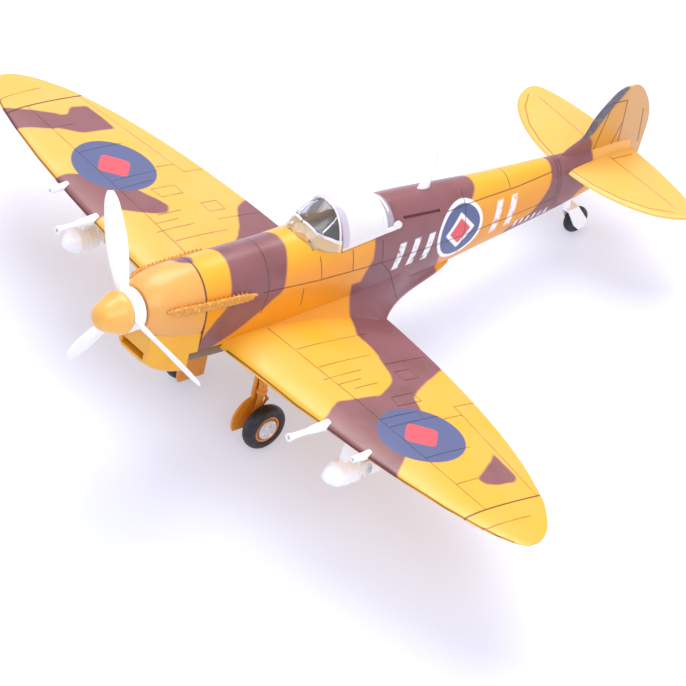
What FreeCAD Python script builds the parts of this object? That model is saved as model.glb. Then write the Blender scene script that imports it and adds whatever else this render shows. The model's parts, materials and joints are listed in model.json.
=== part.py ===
"""Snap-together 1:48 display model of a single-seat, elliptical-winged fighter plane.

Every piece is drawn in airframe axes (nose towards -Y, port wing towards +X, up +Z,
millimetres), then the whole model is tipped nose-up onto its three wheels, so that the
ground is Z = 0 and the origin is the middle of the bottom of its bounding box.
"""
import FreeCAD, Part
import math
import os

V = FreeCAD.Vector

# --- driving dimensions -------------------------------------------------------------

WALL = 1.2                      # moulded fuselage wall
SKIN = 1.0                      # moulded wing skin
SLIP = 0.05                     # radial clearance of a shaft or pin in its bore
GAP = 0.3                       # clearance between parts that move past each other

# fuselage stations: y, top, bottom, half width, height of the widest point, squareness below
STATIONS = (
    (8.1, 7.9, -4.9, 6.4, 1.5, 2.0),
    (11.0, 9.4, -7.0, 7.9, 0.9, 2.1),
    (18.0, 10.8, -10.6, 9.4, -0.4, 2.2),
    (25.2, 11.0, -20.2, 10.0, -1.8, 2.6),
    (36.0, 10.8, -20.8, 10.4, -3.0, 2.6),
    (50.0, 10.6, -20.8, 10.6, -4.0, 2.6),
    (62.0, 10.9, -20.6, 10.6, -4.0, 2.6),
    (76.0, 12.3, -20.0, 10.4, -3.5, 2.5),
    (92.0, 13.2, -18.4, 9.8, -2.5, 2.3),
    (110.0, 11.7, -16.2, 8.6, -2.0, 2.2),
    (130.0, 9.7, -13.8, 7.0, -1.4, 2.1),
    (150.0, 8.5, -11.3, 5.2, -0.8, 2.1),
    (168.0, 7.9, -8.6, 3.3, 0.0, 2.1),
    (186.0, 6.6, -5.6, 1.6, 0.6, 2.1),
)
ROUND_TOP = 2.0                 # exponent of the section's upper half
COWL_END = 25.2                 # seam between the nose cowling and the fuselage halves
COWL_BOTTOM = -13.0             # underside of the round cowling, above the chin
BELLY_TOP = -12.2               # parting height of the belly panel
BELLY_START = 22.6
BELLY_END = 84.0
BELLY_STEP = 0.4                # the belly panel sits inside the fuselage side

# chin intake stations: y, half width, top, bottom
CHIN = (
    (10.4, 6.0, -5.0, -14.6),
    (13.0, 6.9, -4.6, -16.6),
    (17.5, 8.3, -4.2, -18.3),
    (22.6, 9.2, -4.0, -19.0),
    (25.2, 9.5, -4.0, -19.2),
)
MOUTH = (4.6, -13.7, -11.4)     # intake mouth: half width, bottom, top
MESH_Y = 16.0

# wing: elliptical plan about the line of greatest span
SPAN = 117.0                    # half span
PLAN = 1.966                    # exponent of the elliptical plan
LINE_Y = 52.3                   # the line of greatest span
LEAD = 19.0                     # leading edge ahead of it, at the root
TRAIL = 34.6                    # trailing edge behind it, at the root
WING_Z = -14.3
DIHEDRAL = math.radians(2.1)
INCIDENCE = math.radians(2.3)
WING_ROOT = 7.0
TIP_SEAM = 100.4
HOLLOW_END = 66.0               # the tip half of each skin is solid
HOLLOW_CHORD = (0.12, 0.3, 0.46, 0.6)
SPAR_Y = (56.0, 62.0)           # carry-through spar, fore and aft faces
SPAR_REACH = 44.0
SPAR_HALF = 0.9
THICK_ROOT = 0.116              # thickness over chord
THICK_TIP = 0.070
UPPER_SHARE = 0.58              # share of the thickness above the parting plane
WING_STATIONS = (WING_ROOT, 30.0, 52.0, 72.0, 88.0, TIP_SEAM)
TIP_STATIONS = (TIP_SEAM, 108.0, 112.0, 115.0, 116.7)
CHORD_POINTS = (0.0, 0.012, 0.05, 0.13, 0.27, 0.45, 0.65, 0.84, 1.0)
EDGE = 0.22                     # half thickness of a moulded trailing edge

# wing root fillet: y, outboard reach, height on the fuselage side, rise of the edge above the wing
FILLET_FRONT = (
    (35.0, 11.0, -8.0, 0.0),
    (45.0, 14.0, -7.0, 0.0),
    (58.0, 16.5, -6.0, 0.0),
    (72.0, 19.0, -5.6, 0.0),
    (83.2, 20.6, -5.4, 0.0),
)
FILLET_REAR = (
    (83.2, 20.6, -5.4, 0.0),
    (86.5, 17.2, -5.4, 0.0),
    (90.0, 14.5, -5.4, 0.0),
    (96.0, 11.0, -6.0, 0.0),
    (104.0, 8.0, -7.2, 0.4),
    (112.0, 6.6, -8.6, 1.9),
    (119.0, 4.7, -9.4, 3.6),
)

# tailplane and fin
TAIL_SPAN = 35.1
TAIL_LINE_Y = 180.4
TAIL_LEAD = 20.2
TAIL_TRAIL = 6.1
TAIL_Z = 3.6
TAIL_THICK = 2.3
TAIL_STATIONS = (0.9, 10.0, 19.0, 27.0, 32.0, 34.7)
# fin and rudder: height, leading edge y, trailing edge y, half thickness
FIN = (
    (-5.4, 183.0, 189.4, 0.75),
    (0.0, 172.0, 190.4, 0.95),
    (6.0, 158.0, 191.3, 1.1),
    (9.4, 161.5, 191.6, 1.1),
    (12.0, 166.4, 191.6, 1.05),
    (16.0, 168.6, 190.8, 0.95),
    (20.0, 171.4, 189.0, 0.8),
    (23.4, 174.8, 186.6, 0.65),
    (25.5, 178.8, 183.4, 0.4),
)

# propeller
PROP_Z = 1.4
HUB_FRONT = 3.7
HUB_REAR = 7.8
HUB_R = 6.0
SPINNER_TIP = -5.6
SPINNER_R = 5.35
BLADES = 3
BLADE_Y = 4.9                   # the blades' axes
BLADE_PHASE = 116.5             # degrees from +X towards +Z
# blade stations: radius, chord, thickness, pitch from the disc plane in degrees
BLADE = (
    (4.6, 3.0, 1.8, 35.0),
    (9.0, 4.4, 1.5, 46.0),
    (15.0, 5.7, 1.2, 40.0),
    (21.0, 6.0, 1.0, 35.0),
    (26.5, 5.2, 0.8, 31.0),
    (30.6, 3.8, 0.65, 29.0),
    (32.8, 1.8, 0.45, 28.0),
)
STUBS = 6                       # pairs of exhaust stubs on each side
SHAFT_R = 1.0
SHAFT = (-2.0, 30.0)
FIREWALL = (26.0, 27.4)

# canopy: the hood slides along a rail that rises aft
RAIL_TILT = math.radians(5.0)
RAIL_Y = 72.8                   # front lower corner of the hood
RAIL_Z = 5.9
HOOD_LENGTH = 15.8
RAIL_LENGTH = 21.0
HOOD_HALF = 8.3
HOOD_WALL = 0.7
HOOD_TRAVEL = 11.0
# hood stations: distance along the rail, half width, height above the rail
HOOD = (
    (0.0, 8.3, 12.0),
    (5.0, 8.3, 12.0),
    (11.0, 8.2, 10.6),
    (15.8, 8.1, 8.6),
)
# windscreen stations: y, half width, top, bottom
WINDSCREEN = (
    (60.6, 4.2, 11.3, 5.0),
    (63.5, 6.4, 13.6, 4.6),
    (67.5, 7.7, 16.2, 4.4),
    (72.3, 8.25, 18.0, 4.2),
)
COCKPIT = (63.0, 88.6, 6.5)     # opening: front, rear, half width
SILL = 4.4                      # the opening is cut down to this height
QUARTER_END = 92.0              # end of the fixed rear window

# landing gear
WHEEL_X = 17.3
WHEEL_Y = 48.5
WHEEL_Z = -39.4
TYRE_R = 6.8
TYRE_HALF = 2.0
RIM_R = 4.0
CAP_R = 3.0
AXLE_R = 0.8
LEG_X = 13.7
LEG_R = 1.25
OLEO_R = 0.9
LEG_TOP = -14.6
DOOR_X = 11.7                   # inner face of the gear door
DOOR_T = 0.7
TAIL_WHEEL_Y = 172.3
TAIL_WHEEL_Z = -17.6
TAIL_TYRE_R = 4.1
TAIL_TYRE_HALF = 1.3
TAIL_HUB_R = 1.9
TAIL_AXLE_R = 0.5

# guns and bombs
CANNON_X = 50.9
CANNON_REACH = 12.0             # muzzle ahead of the leading edge
STUB_X = 66.4
STUB_REACH = 4.2
BOMB = (57.4, 42.0, -23.4)
BOMB_R = 3.8
BOMB_LENGTH = 18.0

# standing attitude, from the two wheel radii and centres
_RUN = TAIL_WHEEL_Y - WHEEL_Y
_RISE = TAIL_WHEEL_Z - WHEEL_Z
PITCH = math.atan2(_RISE, _RUN) + math.asin((TYRE_R - TAIL_TYRE_R) / math.hypot(_RUN, _RISE))
_DROP = WHEEL_Z * math.cos(PITCH) - WHEEL_Y * math.sin(PITCH)
LIFT = TYRE_R - _DROP           # ground to the airframe's origin
SHIFT_Y = -92.53                # brings the middle of the length to Y = 0


# --- drawing tools --------------------------------------------------------------------

def wire(points):
    """Closed straight-sided outline."""
    return Part.makePolygon(list(points) + [points[0]])


def curve(points):
    """Smooth edge through the points."""
    spline = Part.BSplineCurve()
    spline.interpolate(points)
    return spline.toShape()


def loft(wires, ruled=False):
    """Solid through closed outlines."""
    return Part.makeLoft(wires, True, ruled)


def box(x0, x1, y0, y1, z0, z1):
    """Block between two corners."""
    return Part.makeBox(x1 - x0, y1 - y0, z1 - z0, V(x0, y0, z0))


def rod(start, end, radius):
    """Cylinder from one point to another."""
    axis = V(*end) - V(*start)
    return Part.makeCylinder(radius, axis.Length, V(*start), axis)


def cone(start, end, radius, end_radius):
    """Tapered rod from one point to another."""
    axis = V(*end) - V(*start)
    return Part.makeCone(radius, end_radius, axis.Length, V(*start), axis)


def turned(profile, centre, axis):
    """Solid of revolution from (along, radius) pairs, about an axis through centre."""
    side = V(0, 0, 1)
    points = [V(*centre) + axis * along + side * radius for along, radius in profile]
    return Part.Face(wire(points)).revolve(V(*centre), axis, 360)


def fuse(shapes):
    """One solid from overlapping shapes."""
    whole = shapes[0]
    for shape in shapes[1:]:
        whole = whole.fuse(shape)
    return whole.removeSplitter()


def mirrored(shape):
    """The starboard copy of a port piece."""
    return shape.mirror(V(0, 0, 0), V(1, 0, 0))


def largest(shape):
    """The biggest solid left after a cut, without loose slivers."""
    return max(shape.Solids, key=lambda solid: solid.Volume)


def extruded(outline, x0, x1):
    """Plate from a (y, z) outline, between two x positions."""
    face = Part.Face(wire([V(x0, y, z) for y, z in outline]))
    return face.extrude(V(x1 - x0, 0, 0))


# --- fuselage -------------------------------------------------------------------------

def section_points(station, inset, count=8):
    """Half section of the fuselage from bottom to top, on the port side."""
    y, top, bottom, half, middle, square = station
    top, bottom, half = top - inset, bottom + inset, half - inset
    points = []
    for i in range(2 * count + 1):
        angle = math.pi * (i / (2 * count) - 0.5)
        power = 2 / (ROUND_TOP if angle > 0 else square)
        reach = top - middle if angle > 0 else middle - bottom
        x = half * max(math.cos(angle), 0) ** power
        z = middle + math.copysign(reach * abs(math.sin(angle)) ** power, angle)
        points.append(V(x, y, z))
    points[0].x = 0
    points[-1].x = 0
    return points


def half_body(stations, inset):
    """Port half of the fuselage shape, drawn in by the inset."""
    wires = []
    for station in stations:
        points = section_points(station, inset)
        close = Part.LineSegment(points[-1], points[0]).toShape()
        wires.append(Part.Wire([curve(points), close]))
    return loft(wires)


def both_sides(shape):
    """A port half together with its starboard half."""
    return shape.fuse(mirrored(shape)).removeSplitter()


def cowl_stations():
    """Stations of the round cowling, whose underside stays above the chin."""
    front = [s for s in STATIONS if s[0] < COWL_END]
    end = next(s for s in STATIONS if s[0] == COWL_END)
    return front + [(end[0], end[1], COWL_BOTTOM, end[3], end[4], 2.3)]


def fillet_section(y, reach, height, rise):
    """Root fillet outline in the plane y: hollow upper edge, flat underside."""
    edge = wing_height(reach, y) + 0.5 + rise
    root = min(6.0, reach - 3.4)
    top = V(root, y, height)
    side = V(min(9.4, reach - 1.2), y, height - 2.6)
    outer = V(reach, y, edge)
    low = V(reach, y, edge - 0.9)
    inner = V(root, y, edge - 2.2)
    sag = (outer - side).Length * 0.13
    edges = [
        curve([top, side, (side + outer) * 0.5 - V(sag * 0.4, 0, sag), outer]),
        Part.LineSegment(outer, low).toShape(),
        Part.LineSegment(low, inner).toShape(),
        Part.LineSegment(inner, top).toShape(),
    ]
    return Part.Wire(edges)


def wing_height(x, y):
    """Height of the wing's parting plane."""
    return WING_Z + abs(x) * math.tan(DIHEDRAL) - (y - LINE_Y) * math.tan(INCIDENCE)


def root_fillets():
    """The fairing between the fuselage side and the port wing."""
    front = loft([fillet_section(*s) for s in FILLET_FRONT])
    rear = loft([fillet_section(*s) for s in FILLET_REAR])
    return [front, rear]


def rail_point(along, x, up):
    """A point in rail coordinates: along the hood rail, sideways and above it."""
    return V(
        x,
        RAIL_Y + along * math.cos(RAIL_TILT) - up * math.sin(RAIL_TILT),
        RAIL_Z + along * math.sin(RAIL_TILT) + up * math.cos(RAIL_TILT),
    )


def rail_box(a0, a1, x0, x1, u0, u1):
    """Block in rail coordinates."""
    shape = box(x0, x1, a0, a1, u0, u1)
    shape.rotate(V(0, 0, 0), V(1, 0, 0), math.degrees(RAIL_TILT))
    shape.translate(V(0, RAIL_Y, RAIL_Z))
    return shape


def cockpit_cut():
    """Everything removed for the cockpit, the rear window and the hood's rails."""
    front, rear, half = COCKPIT
    well = box(-half, half, front, rear, SILL, 30)
    window = box(-12, 12, rear, QUARTER_END, 7.0, 30)
    ledge = rail_box(-0.8, RAIL_LENGTH + HOOD_TRAVEL + 1, HOOD_HALF - HOOD_WALL - GAP, 12,
                     -GAP, 20)
    groove = extruded([(95.4, 8.8), (109.2, 7.3), (109.2, 8.1), (95.4, 9.7)], 5.5, 12)
    return [well, window, ledge, mirrored(ledge), groove, mirrored(groove)]


def bosses(side):
    """Locating pins (port) or sockets (starboard) inside the fuselage halves."""
    shapes = []
    for y, z, reach in ((42.0, -7.0, 9.9), (101.0, -8.0, 8.7), (140.0, -4.0, 5.9), (166.0, -1.0, 3.3)):
        boss = rod((0, y, z), (side * (reach - 0.8), y, z), 1.9)
        if side > 0:
            boss = boss.fuse(rod((0.5, y, z), (-1.6, y, z), 0.8))
        else:
            boss = boss.cut(rod((1, y, z), (-2.0, y, z), 0.8 + SLIP))
        shapes.append(boss)
    return shapes


def fuselage_half(outer, inner, wing, side):
    """One moulded fuselage half, with its root fillet and locating bosses."""
    shell = outer
    fillets = root_fillets()
    if side < 0:
        fillets = [mirrored(f) for f in fillets]
    for fillet in fillets:
        shell = shell.fuse(fillet)
    shell = shell.cut(inner).cut(wing)
    shell = shell.cut(box(-12, 12, COWL_END, BELLY_END, -30, BELLY_TOP).cut(
        box(-30, -10.9, 0, 200, -40, 40)).cut(box(10.9, 30, 0, 200, -40, 40)))
    for tool in cockpit_cut():
        shell = shell.cut(tool)
    shell = shell.cut(spar_slot())
    shell = largest(shell)
    for boss in bosses(side):
        shell = shell.fuse(boss)
    return largest(shell)


# --- wing -----------------------------------------------------------------------------

def plan(x):
    """Fraction of the root chord at the distance x from the centre line."""
    return (1 - (abs(x) / SPAN) ** PLAN) ** (1 / PLAN)


def profile_height(s, thickness):
    """Height of an aerofoil surface at the chord fraction s, from its greatest height."""
    shape = 0.2969 * math.sqrt(s) - 0.126 * s - 0.3516 * s ** 2 + 0.2843 * s ** 3 - 0.1036 * s ** 4
    return 10 * shape * thickness


def wing_rib(x):
    """Leading edge, chord and thickness of the wing at x."""
    lead = LINE_Y - LEAD * plan(x)
    trail = LINE_Y + TRAIL * plan(x)
    ratio = THICK_ROOT + (THICK_TIP - THICK_ROOT) * abs(x) / SPAN
    thickness = (LEAD + TRAIL) * plan(x) * ratio
    return lead, trail - lead, thickness


def rib_curve(x, share):
    """Upper (share > 0) or lower surface points of a rib, leading edge first."""
    lead, chord, thickness = wing_rib(x)
    points = []
    for s in CHORD_POINTS:
        y = lead + s * chord
        height = profile_height(s, thickness * abs(share)) + EDGE * s
        points.append(V(x, y, wing_height(x, y) + math.copysign(height, share)))
    return points


def skin_wire(x, share):
    """Outline of the upper or lower half of a rib, closed along the parting plane."""
    points = rib_curve(x, share)
    tail = V(x, points[-1].y, wing_height(x, points[-1].y))
    edges = [
        curve(points),
        Part.LineSegment(points[-1], tail).toShape(),
        Part.LineSegment(tail, points[0]).toShape(),
    ]
    return Part.Wire(edges)


def whole_wire(x):
    """Full outline of a rib."""
    upper = rib_curve(x, UPPER_SHARE)
    lower = rib_curve(x, UPPER_SHARE - 1)
    edges = [
        curve(upper),
        Part.LineSegment(upper[-1], lower[-1]).toShape(),
        curve(lower[::-1]),
    ]
    return Part.Wire(edges)


def wing_hollow(share):
    """Space inside the upper or lower wing skin."""
    wires = []
    for x in (5.0, 30.0, 50.0, HOLLOW_END):
        lead, chord, thickness = wing_rib(x)
        roof = []
        for s in HOLLOW_CHORD:
            y = lead + s * chord
            half = profile_height(s, thickness * abs(share)) - SKIN
            roof.append(V(x, y, wing_height(x, y) + math.copysign(half, share)))
        ends = [V(x, point.y, wing_height(x, point.y)) for point in (roof[-1], roof[0])]
        wires.append(wire(roof + ends))
    return loft(wires, True)


def wing_skin(share, body):
    """Upper or lower wing skin, hollow inboard, fitted to the fuselage side."""
    skin = loft([skin_wire(x, share) for x in WING_STATIONS])
    return largest(skin.cut(wing_hollow(share)).cut(body))


def wing_whole():
    """The whole inboard wing shape, used to fit its neighbours."""
    return loft([whole_wire(x) for x in (5.0,) + WING_STATIONS[1:]])


def wing_tip():
    """Solid tip piece outboard of the seam."""
    return loft([whole_wire(x) for x in TIP_STATIONS])


def spar_arm(grow=0.0):
    """Port arm of the carry-through spar."""
    y0, y1 = SPAR_Y
    middle = (y0 + y1) / 2
    wires = []
    for x in (0.0, SPAR_REACH):
        z = wing_height(x, middle) + 0.4
        low, high = z - SPAR_HALF - grow, z + SPAR_HALF + grow
        wires.append(wire([V(x, y0 - grow, low), V(x, y1 + grow, low),
                           V(x, y1 + grow, high), V(x, y0 - grow, high)]))
    return loft(wires, True)


def spar_slot():
    """Slot through the fuselage sides for the spar."""
    arm = spar_arm(SLIP)
    return arm.fuse(mirrored(arm))


# --- turned and small pieces ------------------------------------------------------------

AFT = V(0, 1, 0)
OUTBOARD = V(1, 0, 0)


def spinner():
    """Blunt cone with a blind bore for the shaft."""
    length = HUB_FRONT - SPINNER_TIP
    rim = [(0.0, 0.0), (0.25, 1.5), (1.0, 2.8), (2.6, 4.0), (5.4, 5.2), (8.6, 5.95),
           (length, SPINNER_R)]
    points = [V(0, SPINNER_TIP + along, PROP_Z + radius) for along, radius in rim]
    back = V(0, HUB_FRONT, PROP_Z)
    edges = [
        curve(points),
        Part.LineSegment(points[-1], back).toShape(),
        Part.LineSegment(back, points[0]).toShape(),
    ]
    solid = Part.Face(Part.Wire(edges)).revolve(V(0, 0, PROP_Z), AFT, 360)
    return solid.cut(rod((0, SHAFT[0], PROP_Z), (0, HUB_FRONT + 1, PROP_Z), SHAFT_R))


def blade(angle):
    """One twisted blade at an angle about the shaft."""
    wires = []
    for radius, chord, thickness, pitch in BLADE:
        ring = Part.Ellipse(V(0, 0, 0), chord / 2, thickness / 2).toShape()
        outline = Part.Wire([ring])
        outline.rotate(V(0, 0, 0), V(0, 0, 1), pitch)
        outline.translate(V(0, 0, radius))
        wires.append(outline)
    shape = loft(wires)
    shape.rotate(V(0, 0, 0), V(0, 1, 0), 90 - angle)
    shape.translate(V(0, BLADE_Y, PROP_Z))
    return shape


def propeller():
    """Hub ring and blades in one moulding."""
    hub = turned([(HUB_FRONT, SHAFT_R), (HUB_FRONT, HUB_R - 0.3), (HUB_FRONT + 0.3, HUB_R),
                  (HUB_REAR - 0.5, HUB_R), (HUB_REAR, HUB_R - 0.5), (HUB_REAR, SHAFT_R)],
                 (0, 0, PROP_Z), AFT)
    shapes = [hub]
    for i in range(BLADES):
        shapes.append(blade(BLADE_PHASE - i * 360 / BLADES).cut(
            rod((0, 0, PROP_Z), (0, 12, PROP_Z), HUB_R - 1.5)))
    return fuse(shapes)


def bush():
    """Flanged bearing in the front wall of the cowling."""
    return turned([(8.2, SHAFT_R + SLIP), (8.2, 2.4), (9.8, 2.4), (9.8, 3.4), (11.0, 3.4),
                   (11.0, 2.0), (12.8, 2.0), (12.8, SHAFT_R + SLIP)], (0, 0, PROP_Z), AFT)


def exhaust():
    """Row of ejector stubs on a common rail, fitted to the cowling side."""
    wires = []
    for y, x, z, half in ((11.6, 8.2, 4.0, 0.4), (15.0, 9.6, 3.9, 0.85), (25.2, 10.8, 3.5, 1.0),
                          (37.0, 11.2, 3.0, 1.0), (41.6, 11.0, 2.8, 0.7)):
        wires.append(wire([V(6.5, y, z - half), V(x, y, z - half * 0.8),
                           V(x, y, z + half * 0.8), V(6.5, y, z + half)]))
    shapes = [loft(wires, True)]
    for i in range(STUBS):
        y = 14.6 + i * 4.5
        z = 3.9 - i * 0.2
        x = min(9.4 + i * 0.5, 10.7)
        shapes.append(rod((x - 1.4, y - 1.6, z - 0.5), (x + 0.9, y + 1.4, z - 0.7), 0.62))
        shapes.append(rod((x - 1.4, y + 0.4, z + 0.5), (x + 0.8, y + 3.2, z + 0.4), 0.6))
    return fuse(shapes)


def chin_section(y, half, top, bottom):
    """Rounded chin outline in the plane y."""
    corner = 2.6
    edges = [
        Part.LineSegment(V(-half, y, top), V(-half, y, bottom + corner)).toShape(),
        Part.Arc(V(-half, y, bottom + corner),
                 V(-half + 0.29 * corner, y, bottom + 0.29 * corner),
                 V(-half + corner, y, bottom)).toShape(),
        Part.LineSegment(V(-half + corner, y, bottom), V(half - corner, y, bottom)).toShape(),
        Part.Arc(V(half - corner, y, bottom),
                 V(half - 0.29 * corner, y, bottom + 0.29 * corner),
                 V(half, y, bottom + corner)).toShape(),
        Part.LineSegment(V(half, y, bottom + corner), V(half, y, top)).toShape(),
        Part.LineSegment(V(half, y, top), V(-half, y, top)).toShape(),
    ]
    return Part.Wire(edges)


def chin_intake(cowl):
    """Deep chin fairing with a wide letter-box mouth."""
    half, low, high = MOUTH
    solid = loft([chin_section(*s) for s in CHIN])
    mouth = box(-half, half, 5, MESH_Y + 1.0, low, high)
    belly = box(-12, 12, BELLY_START, 30, -30, BELLY_TOP)
    return largest(solid.cut(cowl).cut(mouth).cut(belly))


def intake_mesh():
    """Slatted dust filter at the back of the mouth."""
    half, low, high = MOUTH
    plate = box(-half, half, MESH_Y, MESH_Y + 1.0, low, high)
    count = 9
    for i in range(count):
        x = -half + (i + 0.5) * 2 * half / count
        plate = plate.cut(box(x - 0.25, x + 0.25, MESH_Y - 1, MESH_Y + 0.6, low + 0.3, high - 0.3))
    return plate


def arch(y, half, top, bottom, power=2.2):
    """Closed arch outline: half width at the bottom, in the plane y."""
    points = []
    count = 12
    for i in range(count + 1):
        angle = math.pi * i / count
        c, s = math.cos(angle), math.sin(angle)
        x = math.copysign(half * abs(c) ** (2 / power), c)
        points.append(V(x, y, bottom + (top - bottom) * max(s, 0) ** (2 / power)))
    points[0].x, points[-1].x = half, -half
    return Part.Wire([curve(points), Part.LineSegment(points[-1], points[0]).toShape()])


def hood():
    """Clear sliding hood: an arched shell with a rail and end tab on each side."""
    outer = loft([arch(a, half, up, 0) for a, half, up in HOOD])
    inner_stations = [(-1.0,) + HOOD[0][1:]] + list(HOOD) + [(HOOD_LENGTH + 1,) + HOOD[-1][1:]]
    inner = loft([arch(a, half - HOOD_WALL, up - HOOD_WALL, -0.5) for a, half, up in inner_stations])
    shell = outer.cut(inner)
    x1 = HOOD[-1][1]
    for side in (1, -1):
        rail = box(side * x1 - 0.7 * (side > 0), side * x1 + 0.7 * (side < 0),
                   2.0, RAIL_LENGTH - 1.2, 0.0, 1.0)
        tab = rod((side * (x1 - 0.7), RAIL_LENGTH - 1.4, 0.9), (side * x1, RAIL_LENGTH - 1.4, 0.9), 1.4)
        shell = shell.fuse(rail).fuse(tab)
    shell = shell.cut(box(-12, 12, -5, 40, -5, 0))
    shell.rotate(V(0, 0, 0), V(1, 0, 0), math.degrees(RAIL_TILT))
    shell.translate(V(0, RAIL_Y, RAIL_Z))
    return largest(shell.removeSplitter())


def windscreen(body):
    """Clear fixed windscreen, moulded to the top of the fuselage."""
    outer = loft([arch(y, half, top, bottom) for y, half, top, bottom in WINDSCREEN])
    back = WINDSCREEN[-1]
    stations = [(y + 1.1, half - HOOD_WALL * 0.8, top - HOOD_WALL, bottom - 1)
                for y, half, top, bottom in WINDSCREEN[:-1]]
    stations.append((back[0] + 1, back[1] - HOOD_WALL, back[2] - HOOD_WALL, back[3] - 1))
    inner = loft([arch(*s) for s in stations])
    behind = rail_box(-GAP, 40, -12, 12, -10, 30)
    return largest(outer.cut(inner).cut(body).cut(behind))


def rear_window(outer, inner):
    """Fixed clear pane that continues the spine forward to the hood."""
    slab = box(-12, 12, COCKPIT[1], QUARTER_END, 7.0, 30)
    shell = both_sides(outer.common(slab)).cut(both_sides(inner.common(slab)))
    trim = rail_box(-0.8, 60, HOOD_HALF - HOOD_WALL - GAP, 12, -GAP, 20)
    return largest(shell.cut(trim).cut(mirrored(trim)))


def cockpit_tub(inner):
    """Open tray, carried by flanges that meet the fuselage's inner walls."""
    tray = box(-5.4, 5.4, 64.2, 86.6, -7.5, 4.2)
    flange = box(-12, 12, 64.2, 86.6, 3.2, 4.2).common(both_sides(inner))
    return fuse([tray, flange]).cut(box(-4.7, 4.7, 65.0, 85.8, -6.7, 5))


def seat():
    """Bucket seat with a raised back."""
    pan = box(-2.8, 2.8, 76.0, 81.6, -6.7, -2.6).cut(box(-2.2, 2.2, 76.6, 81.0, -4.4, 0))
    back = extruded([(81.0, -6.7), (82.0, -6.7), (84.0, 4.6), (83.2, 4.6)], -2.8, 2.8)
    return fuse([pan, back])


def instrument_panel():
    """Panel with a curved top, a shelf and six dials."""
    plate = Part.Wire([
        Part.LineSegment(V(-4.7, 65.0, -3.0), V(4.7, 65.0, -3.0)).toShape(),
        Part.LineSegment(V(4.7, 65.0, -3.0), V(4.7, 65.0, 4.0)).toShape(),
        Part.Arc(V(4.7, 65.0, 4.0), V(0, 65.0, 7.6), V(-4.7, 65.0, 4.0)).toShape(),
        Part.LineSegment(V(-4.7, 65.0, 4.0), V(-4.7, 65.0, -3.0)).toShape(),
    ])
    shapes = [Part.Face(plate).extrude(V(0, 0.9, 0))]
    for x in (-2.6, 0.0, 2.6):
        for z in (0.4, 3.4):
            shapes.append(rod((x, 65.5, z), (x, 66.1, z), 0.95))
    return fuse(shapes)


def control_stick():
    """Control column with a spade grip."""
    ring = Part.makeTorus(0.9, 0.28, V(0, 71.0, 0.7), AFT)
    return fuse([rod((0, 72.0, -6.7), (0, 71.0, -0.3), 0.4), ring,
                 Part.makeCylinder(1.0, 0.8, V(0, 72.0, -6.7))])


def head_armour():
    """Bulkhead and head rest behind the seat."""
    plate = extruded([(86.6, -7.0), (87.4, -7.0), (87.4, 9.4), (86.6, 9.4)], -4.6, 4.6)
    crown = rod((0, 86.6, 9.0), (0, 87.4, 9.0), 4.4).common(box(-5, 5, 86, 88, 8, 12.6))
    pad = box(-1.8, 1.8, 85.7, 86.7, 6.4, 10.4)
    return fuse([plate, crown, pad])


def aerial_mast():
    """Tapered mast on the spine."""
    wires = []
    for z, y, long, wide in ((8.0, 106.9, 5.0, 2.0), (12.6, 107.3, 4.4, 1.6), (15.0, 108.3, 2.6, 1.1),
                             (24.0, 109.4, 1.3, 0.6)):
        ring = Part.Ellipse(V(0, 0, 0), long / 2, wide / 2).toShape()
        outline = Part.Wire([ring])
        outline.rotate(V(0, 0, 0), V(0, 0, 1), 90)
        outline.translate(V(0, y, z))
        wires.append(outline)
    return loft(wires)


def tail_rib(x):
    """Tailplane outline at x."""
    part = (1 - (x / TAIL_SPAN) ** 1.95) ** (1 / 1.95)
    lead = TAIL_LINE_Y - TAIL_LEAD * part
    trail = TAIL_LINE_Y + TAIL_TRAIL * part
    half = TAIL_THICK / 2 * (0.25 + 0.75 * part)
    return lens(lead, trail, half, lambda y, t: V(x, y, TAIL_Z + t))


def lens(lead, trail, half, place):
    """Slim symmetrical outline between two edges, thickest a third of the way back."""
    upper = []
    for s, share in ((0.0, 0.0), (0.03, 0.42), (0.12, 0.78), (0.35, 1.0), (0.7, 0.72), (1.0, 0.22)):
        upper.append((lead + s * (trail - lead), share * half))
    top = [place(y, t) for y, t in upper]
    bottom = [place(y, -t) for y, t in upper][::-1]
    edges = [curve(top), Part.LineSegment(top[-1], bottom[0]).toShape(), curve(bottom)]
    return Part.Wire(edges)


def tailplane(body, fin):
    """Port tailplane, butted against the fuselage side."""
    return largest(loft([tail_rib(x) for x in TAIL_STATIONS]).cut(body).cut(fin))


def tail_fin(body):
    """Fin and rudder in one moulding, standing on the fuselage."""
    wires = []
    for z, lead, trail, half in FIN:
        wires.append(lens(lead, trail, half, lambda y, t, z=z: V(t, y, z)))
    return largest(loft(wires).cut(body))


def gear_leg(wing):
    """Sprung leg with its torque link and stub axle."""
    x, y = LEG_X, WHEEL_Y
    shapes = [
        rod((x, y, -30.0), (x, y, LEG_TOP), LEG_R),
        rod((x, y, WHEEL_Z - 0.4), (x, y, -29.0), OLEO_R),
        rod((x - 0.6, y, WHEEL_Z), (WHEEL_X + TYRE_HALF - 0.4, y, WHEEL_Z), AXLE_R),
        Part.makeSphere(1.25, V(x - 0.1, y, WHEEL_Z)),
        rod((x, y, -30.4), (x, y, -29.2), 1.5),
        rod((x, y + 0.8, -30.2), (x, y + 2.6, -33.2), 0.4),
        rod((x, y + 2.6, -33.2), (x, y + 0.5, -36.6), 0.4),
        Part.makeSphere(0.55, V(x, y + 2.6, -33.2)),
        rod((x, y, -17.6), (x, y, wing_height(x, y) - 1.9), 1.9),
    ]
    return largest(fuse(shapes).cut(leg_limit(wing)))


def leg_limit(wing):
    """The wing shape, without the socket that the leg's tenon enters."""
    socket = rod((LEG_X, WHEEL_Y, -30), (LEG_X, WHEEL_Y, LEG_TOP + 1), LEG_R + 0.01)
    return wing.cut(socket)


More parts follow.
